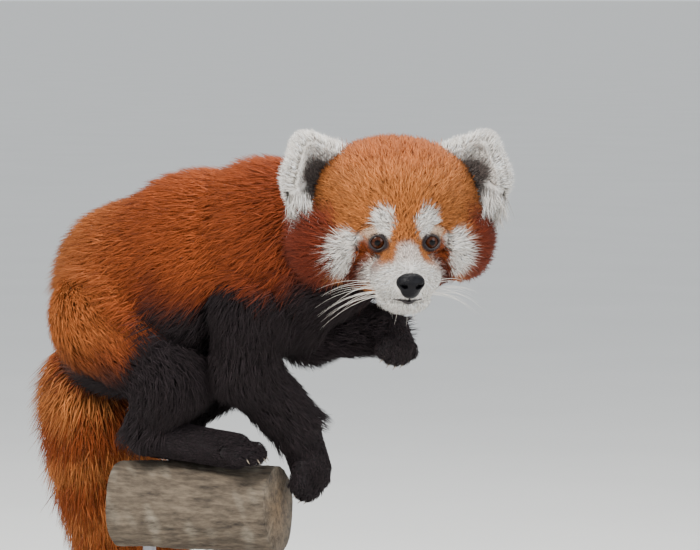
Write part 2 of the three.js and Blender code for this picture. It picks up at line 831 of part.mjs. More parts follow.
// The stand: a flat base, and two rods that reach up into the branch
const baseShape = new THREE.Shape();
const [L, W, R] = [BASE_LENGTH / 2, BASE_WIDTH / 2, 24];
baseShape.moveTo(-L + R, -W);
baseShape.lineTo(L - R, -W);
baseShape.absarc(L - R, -W + R, R, -Math.PI / 2, 0);
baseShape.lineTo(L, W - R);
baseShape.absarc(L - R, W - R, R, 0, Math.PI / 2);
baseShape.lineTo(-L + R, W);
baseShape.absarc(-L + R, W - R, R, Math.PI / 2, Math.PI);
baseShape.lineTo(-L, -W + R);
baseShape.absarc(-L + R, -W + R, R, Math.PI, 1.5 * Math.PI);
const EDGE = 3;
let base = solid(
  new THREE.ExtrudeGeometry(baseShape, {
    depth: BASE_THICK - EDGE,
    curveSegments: 8,
    bevelThickness: EDGE,
    bevelSize: EDGE,
    bevelOffset: -EDGE,
    bevelSegments: 2,
  }),
);
base = base.subtract(solid(new THREE.BoxGeometry(600, 600, 20).translate(0, 0, -10)));

const ROD_SHARES = [0.2, 0.82];
const rodTop = STAND_HEIGHT - 2 * BRANCH_RADIUS + 16;
const rods = ROD_SHARES.map((s, i) => {
  const spot = BRANCH_FRONT.clone().lerp(BRANCH_BACK, s).add(ANIMAL_AT);
  const foot = BASE_THICK - 8;
  const rod = (grow) =>
    solid(
      new THREE.CylinderGeometry(ROD_RADIUS + grow, ROD_RADIUS + grow, rodTop - foot + 2 * grow, 20)
        .rotateX(Math.PI / 2)
        .translate(spot.x, spot.y, (rodTop + foot) / 2),
    );
  base = base.subtract(rod(GAP));
  const room = rod(GAP).translate(ANIMAL_AT.clone().negate().toArray());
  return ["stand_rod_" + (i + 1), rod(0), room];
});
root.add(piece("stand_base", base, COLOURS.wood, 0.5));
let perch = branchSolid;
for (const [name, rod, room] of rods) {
  root.add(piece(name, rod, COLOURS.steel, 0.35, 0.9));
  perch = perch.subtract(room);
}
panda.add(piece("perch_branch", largest(perch), COLOURS.bark, 0.9));
for (const [name, shape, colour, roughness] of nodes) {
  panda.add(piece(name, shape, colour, roughness));
}
export default root;
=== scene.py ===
# %% [markdown]
# # A red panda, as a museum would mount it
# A museum model has a body form, a skin drawn over it, and a coat. This lesson builds the same
# three: forms made of eggs and sticks, one closed skin round them, and a coat of small closed tufts
# that lie along the body as hair does. Everything is worked out in millimetres in the animal's own
# frame, where z = 0 is the top of the branch. It is moved over the stand when each mesh is made.

import bpy
import numpy as np
from mathutils import Matrix, Vector


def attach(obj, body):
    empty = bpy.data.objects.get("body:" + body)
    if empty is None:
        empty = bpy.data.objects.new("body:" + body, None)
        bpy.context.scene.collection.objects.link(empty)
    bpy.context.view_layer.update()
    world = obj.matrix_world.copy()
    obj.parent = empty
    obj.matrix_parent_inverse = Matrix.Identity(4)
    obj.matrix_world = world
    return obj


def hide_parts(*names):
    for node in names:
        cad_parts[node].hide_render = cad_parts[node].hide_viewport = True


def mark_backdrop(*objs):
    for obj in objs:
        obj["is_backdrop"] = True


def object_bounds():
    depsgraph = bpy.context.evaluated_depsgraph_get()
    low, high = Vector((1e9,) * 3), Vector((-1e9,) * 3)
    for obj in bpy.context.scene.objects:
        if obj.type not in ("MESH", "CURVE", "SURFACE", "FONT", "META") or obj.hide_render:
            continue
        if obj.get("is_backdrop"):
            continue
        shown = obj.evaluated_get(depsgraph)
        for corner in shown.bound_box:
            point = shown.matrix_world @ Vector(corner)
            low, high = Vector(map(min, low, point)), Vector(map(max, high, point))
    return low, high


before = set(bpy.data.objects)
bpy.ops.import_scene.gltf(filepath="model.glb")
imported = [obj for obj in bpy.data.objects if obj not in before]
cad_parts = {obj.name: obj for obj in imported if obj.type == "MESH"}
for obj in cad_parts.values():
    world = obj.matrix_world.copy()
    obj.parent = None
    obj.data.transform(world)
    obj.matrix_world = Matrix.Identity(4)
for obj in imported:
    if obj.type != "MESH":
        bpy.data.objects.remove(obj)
cad_box = [list(corner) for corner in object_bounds()]
rng = np.random.default_rng(7)
MM = 0.001


def xyz(x, y, z):
    return np.array((x, y, z), float)


def unit(v):
    return v / np.linalg.norm(v)


ANIMAL_AT = xyz(-15, 4, 306)
SIDES = (1, -1)  # the animal's left, then its right
print("solid box", cad_box)


# %% [markdown]
# ## The form
# A living body has no edges: a leg flows into the trunk. It could be sculpted by hand, or built
# from primitives and smoothed. Here each muscle group is a signed distance, below zero inside,
# because such forms join with a fillet of any reach and can be measured anywhere.


# %% Signed forms
def ball(centre, radius):
    return lambda spots: np.linalg.norm(spots - centre, axis=-1) - radius


def egg(centre, radii):
    radii = np.array(radii, float)

    def form(spots):
        scaled = (spots - centre) / radii
        far = np.linalg.norm(scaled, axis=-1)
        steep = np.linalg.norm(scaled / radii, axis=-1) + 1e-9
        return far * (far - 1) / steep

    return form


def stick(start, end, start_radius, end_radius):
    way = end - start

    def form(spots):
        share = np.clip((spots - start) @ way / (way @ way), 0, 1)
        near = np.linalg.norm(spots - start - share[..., None] * way, axis=-1)
        return near - (start_radius + (end_radius - start_radius) * share)

    return form


def fillet(a, b, reach):
    # the lesser of two distances, rounded where they are nearly equal
    h = np.maximum(reach - np.abs(a - b), 0) / reach
    return np.minimum(a, b) - h * h * reach * 0.25


def soft(reach, *forms):
    def form(spots):
        out = forms[0](spots)
        for other in forms[1:]:
            out = fillet(out, other(spots), reach)
        return out

    return form


def chain(joints, reach):
    pairs = zip(joints, joints[1:])
    return soft(reach, *[stick(a[0], b[0], a[1], b[1]) for a, b in pairs])


print("a ball of 5 mm is", ball(xyz(0, 0, 0), 5)(xyz(9, 0, 0)), "mm away at 9 mm")


# %% [markdown]
# ## Where the head sits
# The animal looks round at the viewer with its head low. The face could be modelled in place, but
# its two halves mirror each other only in a frame of their own. So the head has one: the face looks
# along -y, the crown is +z and the animal's left is +x.

# %% Head frame
HEAD_AT = xyz(169, -23, 190)
HEAD_TURN = np.radians(33.5)
HEAD_NOD = np.radians(11)
HEAD = np.array(Matrix.Rotation(HEAD_TURN, 3, "Z") @ Matrix.Rotation(HEAD_NOD, 3, "X"))


def to_head(spots):
    return (spots - HEAD_AT) @ HEAD


def from_head(spots):
    return spots @ HEAD.T + HEAD_AT


print("the nose tip is at", from_head(xyz(0, -88, -30)).round())


# %% [markdown]
# ## Trunk and neck
# The back is a low arch, deepest over the ribs. The numbers are the solids' half widths, out to the
# tips of the coat. The skin lies under them by the depth of the hair, which is greatest on the back
# and less on the nape and the throat, so that the coat about fills the solid's outline.

# %% Trunk and neck
TRUNK_HAIR = 15
NAPE_HAIR = 12
THROAT_HAIR = 10
SPINE = [(xyz(55, 0, 166), 63), (xyz(2, 0, 150), 67), (xyz(-47, 0, 126), 70), (xyz(-70, 2, 98), 54)]
trunk = soft(
    22,
    chain([(p, r - TRUNK_HAIR) for p, r in SPINE], 20),
    ball(xyz(58, 0, 130), 50 - TRUNK_HAIR),
    ball(xyz(0, 0, 128), 60 - TRUNK_HAIR),
)
neck = soft(
    14,
    stick(xyz(70, -3, 170), xyz(146, -8, 190), 56 - TRUNK_HAIR, 50 - NAPE_HAIR),
    stick(xyz(78, 0, 136), xyz(132, -14, 158), 44 - TRUNK_HAIR, 34 - THROAT_HAIR),
)
print("skin of the back lies", TRUNK_HAIR, "mm under the outline")

# %% [markdown]
# ## Limbs and paws
# Each leg has three joints and ends in a broad sole with five toes. The right forefoot hangs over
# the end of the branch and the left one is raised with a drooping wrist. All four come from one
# recipe, a chain of sticks and a fan of toes, because only their places differ.

# %% Where the limbs go
PAWS = {
    "right_fore": dict(
        leg=[(xyz(56, -32, 122), 38), (xyz(46, -25, 74), 28), (xyz(74, 8, 26), 19)],
        ball=xyz(83, 12, -4), way=xyz(-0.12, 0, -1), back=xyz(1, 0, -0.1), reach=26, wide=10, toe=8,
    ),
    "left_fore": dict(
        leg=[(xyz(58, 34, 124), 36), (xyz(72, 30, 100), 27), (xyz(143, 21, 101), 17)],
        ball=xyz(152, 16, 92), way=xyz(0.02, -0.1, -1), back=xyz(1, -0.2, 0), reach=17, wide=8.4, toe=7,
    ),
    "right_hind": dict(
        leg=[(xyz(-60, -32, 108), 54), (xyz(-8, -42, 64), 32), (xyz(-30, -38, 20), 17)],
        ball=xyz(44, -37, 12), way=xyz(1, 0.1, -0.2), back=xyz(0.2, 0, 1), reach=24, wide=9, toe=7.6,
    ),
    "left_hind": dict(
        leg=[(xyz(-60, 32, 106), 52), (xyz(-14, 34, 62), 30), (xyz(-44, 8, 13), 17)],
        ball=xyz(6, 8, 4), way=xyz(1, 0.1, -0.15), back=xyz(0.1, 0.3, 1), reach=24, wide=9.6, toe=8,
    ),
}
print("paws", list(PAWS))

# %% Limb and paw forms
LIMB_HAIR = (12, 9, 4.5)  # at the shoulder or hip, the elbow or knee, and the wrist or heel
TOE_HAIR = 2


def toe_tips(paw):
    # where each toe ends, the way it points, the way its back faces and its half width
    ahead = unit(paw["way"])
    side = unit(np.cross(paw["back"], ahead))
    tips = []
    for n in (-2, -1, 0, 1, 2):
        long = paw["reach"] * (1 - 0.07 * n * n) - paw["toe"]
        end = paw["ball"] + side * n * paw["wide"] + ahead * long
        tips.append((end, ahead, unit(paw["back"]), paw["toe"] - TOE_HAIR))
    return tips


def paw_form(paw):
    ahead = unit(paw["way"])
    side = unit(np.cross(paw["back"], ahead))
    toes = []
    for n, (end, _, _, tip_radius) in zip((-2, -1, 0, 1, 2), toe_tips(paw)):
        start = paw["ball"] + side * n * paw["wide"] * 0.8
        toes.append(stick(start, end, paw["toe"] * 1.05 - 2.4, tip_radius))
    wrist, wrist_radius = paw["leg"][2]
    sole = stick(wrist, paw["ball"], wrist_radius - 4, paw["wide"] * 1.7 - 3)
    return soft(4, soft(2.5, *toes), sole)


def limb_form(paw):
    return chain([(p, r - hair_depth) for (p, r), hair_depth in zip(paw["leg"], LIMB_HAIR)], 12)


paws = {name: paw_form(paw) for name, paw in PAWS.items()}
limbs = {name: limb_form(paw) for name, paw in PAWS.items()}
print("toes", sum(len(toe_tips(paw)) for paw in PAWS.values()))

# %% [markdown]
# ## Tail
# The tail hangs from the rump, passes behind the branch and swings forward over the base. Little of
# it shows in the picture, so its length and its lower half follow the species. A spline through a
# few knots gives the line, and a chain of short sticks along it gives a form that bends evenly.

# %% Tail line
TAIL_KNOTS = [
    xyz(-76, 2, 96), xyz(-104, 14, 62), xyz(-106, 28, 10), xyz(-94, 34, -45),
    xyz(-78, 38, -100), xyz(-52, 42, -156), xyz(-10, 48, -204), xyz(42, 54, -230),
]
TAIL_STEPS = 41


def smooth_line(knots, count):
    # a centripetal spline, which has no loops at uneven knots
    knots = [2 * knots[0] - knots[1], *knots, 2 * knots[-1] - knots[-2]]
    fine = []
    for i in range(1, len(knots) - 2):
        p0, p1, p2, p3 = knots[i - 1 : i + 3]
        gaps = [max(1e-4, np.linalg.norm(q - p) ** 0.5) for p, q in ((p0, p1), (p1, p2), (p2, p3))]
        leave = (p1 - p0) / gaps[0] - (p2 - p0) / (gaps[0] + gaps[1]) + (p2 - p1) / gaps[1]
        arrive = (p2 - p1) / gaps[1] - (p3 - p1) / (gaps[1] + gaps[2]) + (p3 - p2) / gaps[2]
        leave = leave * gaps[1]
        arrive = arrive * gaps[1]
        cubic = 2 * p1 - 2 * p2 + leave + arrive
        square = -3 * p1 + 3 * p2 - 2 * leave - arrive
        for t in np.linspace(0, 1, 40, endpoint=False):
            fine.append(cubic * t**3 + square * t**2 + leave * t + p1)
    fine = np.array([*fine, knots[-2]])
    run = np.concatenate([[0], np.cumsum(np.linalg.norm(np.diff(fine, axis=0), axis=1))])
    want = np.linspace(0, run[-1], count)
    return np.stack([np.interp(want, run, fine[:, k]) for k in range(3)], axis=1), run[-1]


tail_line, tail_length = smooth_line(TAIL_KNOTS, TAIL_STEPS)
tail_share = np.linspace(0, 1, TAIL_STEPS)
print("tail length", round(tail_length))

# %% Tail form
TAIL_SKIN = 22  # half width of the skin at the fullest part


def tail_width(share):
    swell = np.minimum(1, 0.62 + 1.6 * share)
    taper = np.where(share > 0.62, 1 - 0.34 * ((share - 0.62) / 0.38) ** 2, 1)
    return TAIL_SKIN * swell * taper


tail_joints = zip(tail_line[::2], tail_share[::2])
tail = chain([(p, float(tail_width(share))) for p, share in tail_joints], 6)
print("tail tip half width", round(float(tail_width(1.0)), 1))

# %% [markdown]
# ## Head and lids
# A broad round skull, full cheeks and a short muzzle. Muzzle and brow have short hair, so their
# skin lies close under the outline. The lids could be loose flaps, but from outside they are a
# shell over the eyeball with an almond opening, so they are a ball joined to the head, with the
# opening cut through it.

# %% Head form
EYE_ASIDE = 19
EYE_UP = -9
EYES = [(half, xyz(half * EYE_ASIDE, -41, EYE_UP)) for half in SIDES]
EYE_TURN = 0.14  # how far each eye looks out to its side, for each mm ahead
LID_RADIUS = 8.7
OPENING = (5.3, 4.5)  # half width and half height
head_core = soft(
    9,
    egg(xyz(0, 5, 5), [54, 47, 42]),
    egg(xyz(0, -22, 4), [39, 25.5, 29]),
    egg(xyz(-42, -5, -15), [22, 29, 28]),
    egg(xyz(42, -5, -15), [22, 29, 28]),
    egg(xyz(0, -12, -34), [38, 30, 18]),
    stick(xyz(0, -34, -8), xyz(0, -67, -24), 14.5, 9.5),
    egg(xyz(0, -56, -31), [23.5, 24.5, 17]),
    egg(xyz(0, -50, -47), [16, 18, 9.5]),
)
head_lidded = soft(3, head_core, *[ball(centre, LID_RADIUS) for _, centre in EYES])


def head_form(spots):
    # spots are in the head's frame
    out = head_lidded(spots)
    for half, centre in EYES:
        x = spots[..., 0] - centre[0] + half * EYE_TURN * (spots[..., 1] - centre[1])
        hole = (np.hypot(x / OPENING[0], (spots[..., 2] - centre[2]) / OPENING[1]) - 1) * OPENING[1]
        out = np.maximum(out, -np.maximum(hole, spots[..., 1] - centre[1] + 2))
    return out


print("eyes", 2 * EYE_ASIDE, "mm apart")

# %% [markdown]
# ## Ears
# Each ear is a shallow cup with an apex at its outer top, and opens forward and a little out. A cup
# could be a bent sheet, but a real ear is thick with hair, so it is an egg with a second egg taken
# out of its front.


# %% Ear forms
def ear_frame(half):
    # the turns go first about z, then x, then y
    lean = Matrix.Rotation(half * 0.42, 3, "Y")
    nod = Matrix.Rotation(-0.12, 3, "X")
    turn = Matrix.Rotation(half * -0.42, 3, "Z")
    return np.array(lean @ nod @ turn)


EARS = [(half, xyz(half * 53, 8, 22), ear_frame(half)) for half in SIDES]
ear_shell = soft(12, egg(xyz(0, 0, 0), [28.5, 10.5, 28.5]), ball(xyz(0, 1, 28), 8))
ear_hollow = soft(10, egg(xyz(0, -10, 0), [24, 11, 24]), ball(xyz(0, -8, 23.5), 6))


def to_ear(spots_in_head, ear):
    _, centre, turn = ear
    return (spots_in_head - centre) @ turn


def ear_form(ear):
    def form(spots):
        local = to_ear(to_head(spots), ear)
        return np.maximum(ear_shell(local), -ear_hollow(local))

    return form


ears = [ear_form(ear) for ear in EARS]
print("ear cups", len(ears))

# %% [markdown]
# ## One skin
# Skin has no seams, so all the forms become one. The fillets are wide where a limb leaves the trunk
# and narrow at the foot of the ears, where a wide one would fill the cup.


# %% The whole body
def head(spots):
    return head_form(to_head(spots))


spine_and_tail = soft(16, soft(20, trunk, neck), tail)
legs = [soft(5, limbs[name], paws[name]) for name in PAWS]
front_half = soft(12, soft(16, spine_and_tail, head), *legs[:2])
HIP_FILLET = 10
EAR_FILLET = 3


def skin(spots):
    out = front_half(spots)
    for leg in legs[2:]:
        out = fillet(out, leg(spots), HIP_FILLET)
    for ear in ears:
        out = fillet(out, ear(spots), EAR_FILLET)
    return out


print("the middle of the chest is", round(float(skin(xyz(50, 0, 150))), 1), "mm inside")


# %% [markdown]
# ## From form to surface
# A form is only a rule, and the scene needs faces. A remesher could find them from a rough shape,
# but here the rule itself is sampled on a grid. Each cell that the surface crosses gets one corner,
# and each crossed grid edge gets one face of four corners, so the result is always closed. Grid
# lines are close together over the head.


# %% Sampling and corners
FINE_GRID = 2.2


def grid_lines(low, high, fine_low, fine_high, coarse):
    out = [low]
    while out[-1] < high:
        v = out[-1]
        out.append(v + (FINE_GRID if fine_low < v < fine_high else coarse))
    return np.array(out)


def sampled(form, xs, ys, zs):
    values = np.empty((len(xs), len(ys), len(zs)), np.float32)
    for i, x in enumerate(xs):
        Y, Z = np.meshgrid(ys, zs, indexing="ij")
        values[i] = form(np.stack([np.full_like(Y, x), Y, Z], -1))
    # the outermost samples count as outside, so that the surface closes
    values[[0, -1]] = 1
    values[:, [0, -1]] = 1
    values[:, :, [0, -1]] = 1
    return values


def edge_ends(axis):
    low = [slice(None)] * 3
    high = [slice(None)] * 3
    low[axis] = slice(0, -1)
    high[axis] = slice(1, None)
    return tuple(low), tuple(high)


def cell_corners(values, xs, ys, zs):
    # each corner is the mean of the places where the surface crosses its cell's edges
    cells = tuple(n - 1 for n in values.shape)
    total = np.zeros((*cells, 3), np.float32)
    count = np.zeros(cells, np.float32)
    places = np.stack(np.meshgrid(xs, ys, zs, indexing="ij"), -1).astype(np.float32)
    for axis in range(3):
        low, high = edge_ends(axis)
        a, b = values[low], values[high]
        cross = (a < 0) != (b < 0)
        t = np.where(cross, a / np.where(cross, a - b, 1), 0)[..., None]
        point = (places[low] * (1 - t) + places[high] * t) * cross[..., None]
        others = [k for k in range(3) if k != axis]
        for first in (0, 1):
            for second in (0, 1):
                pick = [slice(None)] * 3
                for k, shift in zip(others, (first, second)):
                    pick[k] = slice(shift, values.shape[k] - 1 + shift)
                total += point[tuple(pick)]
                count += cross[tuple(pick)]
    used = count > 0
    index = -np.ones(used.shape, int)
    index[used] = np.arange(used.sum())
    return total[used] / count[used][:, None], index


print("grid lines over the head are", FINE_GRID, "mm apart")


# %% Faces
def faces_on_axis(inside, index, axis):
    u, v = [k for k in range(3) if k != axis]
    low, high = edge_ends(axis)
    where = np.argwhere(inside[low] != inside[high])
    ok = (where[:, u] > 0) & (where[:, v] > 0)
    ok &= (where[:, u] < inside.shape[u] - 1) & (where[:, v] < inside.shape[v] - 1)
    where = where[ok]
    ring = []
    for du, dv in ((0, 0), (1, 0), (1, 1), (0, 1)):
        cell = where.copy()
        cell[:, u] -= 1 - du
        cell[:, v] -= 1 - dv
        ring.append(index[tuple(cell.T)])
    quads = np.stack(ring, 1)
    outward = inside[tuple(where.T)]
    if axis == 1:
        outward = ~outward
    quads[~outward] = quads[~outward][:, ::-1]
    return quads


def surface(form, xs, ys, zs):
    values = sampled(form, xs, ys, zs)
    corners, index = cell_corners(values, xs, ys, zs)
    quads = [faces_on_axis(values < 0, index, axis) for axis in range(3)]
    return corners.astype(float), np.concatenate(quads)


corners, quads = surface(ball(xyz(0, 0, 0), 5), *[np.arange(-8, 9, 2.0)] * 3)
print("a ball on a coarse grid has", len(quads), "faces")

# %% [markdown]
# ## Down onto the form
# The corners lie near the surface but not on it, which shows as faint terraces. Smoothing would
# also shrink the toes. Each corner is slid down the form's slope instead, three times, which keeps
# every size.


# %% The skin's points
def slope(form, spots, reach=0.3):
    rise = [form(spots + way * reach) - form(spots - way * reach) for way in np.eye(3)]
    steep = np.stack(rise, -1) / (2 * reach)
    return steep / (np.linalg.norm(steep, axis=-1, keepdims=True) + 1e-9)


def settle(form, spots, rounds=3):
    for _ in range(rounds):
        away = np.clip(form(spots), -1.5, 1.5)[..., None]
        spots = spots - slope(form, spots) * away * 0.9
    return spots


points, quads = surface(
    skin,
    grid_lines(-160, 262, 104, 250, 4.2),
    grid_lines(-120, 116, -108, 62, 4.2),
    grid_lines(-262, 268, 122, 262, 4.4),
)
points = settle(skin, points)
print("skin points", len(points), "faces", len(quads))


# %% [markdown]
# ## Mesh and colour helpers
# Hundreds of thousands of points go into each mesh, so they are handed over as arrays and not one
# by one. Colours are written as a picture editor gives them, and turned into the linear light that
# shaders work in.


# %% Meshes and colours
def make(name, verts, faces):
    mesh = bpy.data.meshes.new(name)
    places = (np.asarray(verts) + ANIMAL_AT) * MM
    faces = np.asarray(faces)
    mesh.vertices.add(len(places))
    mesh.vertices.foreach_set("co", places.astype(np.float32).ravel())
    mesh.loops.add(faces.size)
    mesh.loops.foreach_set("vertex_index", faces.ravel().astype(np.int32))
    mesh.polygons.add(len(faces))
    starts = np.arange(0, faces.size, faces.shape[1], dtype=np.int32)
    mesh.polygons.foreach_set("loop_start", starts)
    mesh.update(calc_edges=True)
    mesh.validate()
    mesh.polygons.foreach_set("use_smooth", np.ones(len(mesh.polygons), bool))
    obj = bpy.data.objects.new(name, mesh)
    bpy.context.scene.collection.objects.link(obj)
    return obj


def paint(obj, colours):
    layer = obj.data.color_attributes.new("Coat", "FLOAT_COLOR", "POINT")
    rgba = np.ones((len(colours), 4), np.float32)
    rgba[:, :3] = colours
    layer.data.foreach_set("color", rgba.ravel())


def linear(red, green, blue):
    c = np.array((red, green, blue), float) / 255
    return np.where(c > 0.04045, ((c + 0.055) / 1.055) ** 2.4, c / 12.92)


print("white in linear light", linear(240, 234, 226).round(2))

# %% [markdown]
# ## Two kinds of finish
# Hair, skin, eyes and bark have a colour that changes from place to place, which is painted on the
# points and read by the first finish. Bare skin, horn, wood and steel are nearly one colour, and
# the second finish gives them a fine mottle and grain. Both are procedural, so they need no picture
# files.


# %% Finishes
def new_finish(name, rough, gloss):
    material = bpy.data.materials.new(name)
    material.use_nodes = True
    nodes, links = material.node_tree.nodes, material.node_tree.links
    shader = nodes["Principled BSDF"]
    shader.inputs["Roughness"].default_value = rough
    shader.inputs["Specular IOR Level"].default_value = gloss
    return material, nodes, links, shader


def painted_finish(name, rough, gloss=0.5):
    material, nodes, links, shader = new_finish(name, rough, gloss)
    painted = nodes.new("ShaderNodeAttribute")
    painted.attribute_name = "Coat"
    links.new(painted.outputs["Color"], shader.inputs["Base Color"])
    return material


def add_bump(material, height, strength, distance):
    nodes, links = material.node_tree.nodes, material.node_tree.links
    bump = nodes.new("ShaderNodeBump")
    bump.inputs["Strength"].default_value = strength
    bump.inputs["Distance"].default_value = distance
    links.new(height, bump.inputs["Height"])
    links.new(bump.outputs["Normal"], nodes["Principled BSDF"].inputs["Normal"])


def add_ramp(material, source, low, high):
    # low and high are each a position and a colour
    nodes, links = material.node_tree.nodes, material.node_tree.links
    ramp = nodes.new("ShaderNodeValToRGB")
    for element, (position, colour) in zip(ramp.color_ramp.elements, (low, high)):
        element.position = position
        element.color = (*colour, 1)
    links.new(source, ramp.inputs["Fac"])
    return ramp


def mottled_finish(name, rgb, rough, grain, metal=0.0, gloss=0.5, strength=0.2, mottle=0.25):
    material, nodes, links, shader = new_finish(name, rough, gloss)
    shader.inputs["Metallic"].default_value = metal
    where = nodes.new("ShaderNodeTexCoord")
    noise = nodes.new("ShaderNodeTexNoise")
    noise.inputs["Scale"].default_value = grain
    noise.inputs["Detail"].default_value = 6
    links.new(where.outputs["Object"], noise.inputs["Vector"])
    dark = [c * (1 - mottle) for c in rgb]
    light = [min(1, c * (1 + mottle)) for c in rgb]
    ramp = add_ramp(material, noise.outputs["Fac"], (0.3, dark), (0.72, light))
    links.new(ramp.outputs["Color"], shader.inputs["Base Color"])
    add_bump(material, noise.outputs["Fac"], strength, 0.001)
    return material


print("finishes ready")

# %% [markdown]
# ## Colours and edges
# The markings run into each other over a few hairs, never along a hard line. A smooth step gives
# the soft edge, and a wave of a few crossed sines makes it wander. The wave is seeded, so the same
# animal comes out each time.

# %% Palette
RUSSET = linear(160, 78, 36)
GOLD = linear(202, 126, 66)
RUST = linear(116, 46, 24)
CROWN = linear(184, 112, 56)
BLACK = linear(42, 34, 36)
WHITE = linear(240, 234, 226)
CREAM = linear(222, 200, 176)
GREY = linear(66, 54, 50)
FULL_TURN = 6.283


def step(low, high, value):
    t = np.clip((value - low) / (high - low), 0, 1)
    return (t * t * (3 - 2 * t))[..., None]


def wave(spots, scale, seed):
    draws = np.random.default_rng(seed)
    out = 0
    for k in range(5):
        way = unit(draws.normal(size=3)) * (0.7 + 0.35 * k) / scale
        out = out + np.sin(spots @ way * FULL_TURN + draws.uniform(0, FULL_TURN))
    return out / 5


def over(under, colour, share):
    return under + (colour - under) * share


print("russet in linear light", RUSSET.round(3))


# %% [markdown]
# ## Face
# The face has white cheeks, brows and muzzle, a cream ring above each eye, a rust stripe from the
# eye down to the jaw and a dark rim round the lids. It could be painted on by hand. Here each mark
# is a soft ellipse or stripe in the head's frame, laid over the ones before, so both sides match
# and any mark can be moved.

# %% Face marks
# colour, centre to the side and up, half width, half height, strength
WHITE_MARKS = {
    "cheek": (WHITE * 0.93, 35.5, -19, 10, 17, 1),
    "ring above the eye": (CREAM, 19, -3, 10, 6, 0.75),
    "brow": (WHITE * 0.95, 13.5, 4.5, 7.5, 9.5, 1),
}


def face_colour(spots):
    # spots are in the head's frame, and x is the same on both sides
    x, y, z = np.abs(spots[:, 0]), spots[:, 1], spots[:, 2]
    ragged = wave(spots, 9, 3) * 2.2
    # painted light and shade of clumps of hair: a soft wave of lighter and darker patches
    clump_shade = 1 + 0.14 * wave(spots, 8, 4)[:, None] + 0.1 * wave(spots, 3.5, 14)[:, None]
    colour = CROWN * clump_shade
    colour = over(colour, RUSSET * 0.95, step(-2, 30, y))
    colour = over(colour, RUSSET, step(24, 46, z + ragged) * 0.6)
    colour = over(colour, RUST, step(39, 47, x + ragged) * step(20, -2, z))
    front = step(6, -8, y)
    for mark, side, up, wide, tall, strength in WHITE_MARKS.values():
        out = np.hypot((x - side) / wide, (z - up) / tall) + ragged * 0.03
        colour = over(colour, mark, step(1.15, 0.8, out) * strength * front)
    stripe = np.abs(x - (23.5 + 0.22 * (-10 - z)) + ragged * 0.5)
    colour = over(colour, RUSSET * 0.75, step(9, 5, stripe) * step(-4, -12, z) * front)
    colour = over(colour, RUST * 0.55, step(9, 5, stripe) * step(-18, -34, z) * front)
    muzzle = np.hypot(x / 28, (z + 38) / 22.5) + ragged * 0.015
    colour = over(colour, WHITE, step(1.08, 0.85, muzzle) * step(-30, -40, y))
    bridge = np.hypot(x / 10, (z + 18) / 11)
    colour = over(colour, WHITE * 0.9, step(1.15, 0.7, bridge) * 0.8)
    colour = over(colour, BLACK, step(-46, -56, z) * step(-48, -38, y))
    rim = np.hypot(x - EYE_ASIDE, (z - EYE_UP) * 1.15)
    return over(colour, BLACK * 1.4, step(9, 6.6, rim) * front)


print("white marks on each side", list(WHITE_MARKS))


# %% [markdown]
# ## Ears, body and tail
# The ears are white with a dark patch inside and rust at the back. The back is russet, golden on
# the rump and redder at the shoulders, and turns to brown-black along a line that rises from the
# knee to the throat. The tail has faint paler rings, nine or so, and a dark tip.


# %% Other marks
def ear_colour(local, half):
    colour = np.repeat((WHITE * 0.97)[None], len(local), 0)
    back = step(4, 8, local[:, 1]) * step(24, 14, np.hypot(local[:, 0], local[:, 2]))
    colour = over(colour, RUST * 0.8, back)
    patch = np.hypot(local[:, 0] - half, local[:, 2] - 5) + wave(local, 7, 12) * 2
    return over(colour, GREY, step(16, 9, patch) * step(3, 1, local[:, 1]) * 0.95)


def body_colour(spots):
    x, _, z = spots.T
    ragged = wave(spots, 30, 5) * 9
    colour = RUSSET * (1 + 0.1 * wave(spots, 14, 6)[:, None])
    colour = over(colour, GOLD, step(-10, -95, x) * 0.55)
    colour = over(colour, RUST * 1.15, step(30, 110, x) * 0.6)
    edge = 74 + 54 * step(-48, 0, x)[:, 0] + 18 * step(60, 110, x)[:, 0]
    colour = over(colour, RUST * 0.8, step(edge + 34, edge + 6, z + ragged) * 0.65)
    return over(colour, BLACK, step(edge + 10, edge - 8, z + ragged))


TAIL_RINGS = 8.5


def nearest_on_tail(spots):
    return np.linalg.norm(spots[:, None] - tail_line[None], axis=2).argmin(1)


def tail_colour(spots):
    share = tail_share[nearest_on_tail(spots)] + 0.006 * wave(spots, 12, 8)
    ring = 0.5 + 0.5 * np.cos(share * FULL_TURN * TAIL_RINGS)
    colour = over(RUSSET * 0.85, GOLD * 0.95, 0.75 * step(0.35, 0.95, ring))
    return over(colour, RUST * 0.7, step(0.9, 1.0, share) * 0.9)


print("the tail's middle is", tail_colour(tail_line[20:21]).round(2))

# %% [markdown]
# ## Which mark goes where
# Every spot belongs to the form that it lies deepest in: trunk, head, an ear, the tail, a limb or a
# paw. The same rule then colours the skin and every tuft that grows from it, so the coat's parting
# never shows a wrong colour.

# %% Parts of the body
HEAD_PART = 1
FIRST_EAR = 2
TAIL_PART = 4
FIRST_LIMB = 5
HIND_LIMBS = (7, 8)
FIRST_PAW = 9
TAIL_ROOT = xyz(-80, 4, 92)
part_forms = [soft(20, trunk, neck), head, *ears, tail, *limbs.values(), *paws.values()]


def which_part(spots):
    return np.stack([form(spots) for form in part_forms], -1).argmin(-1)


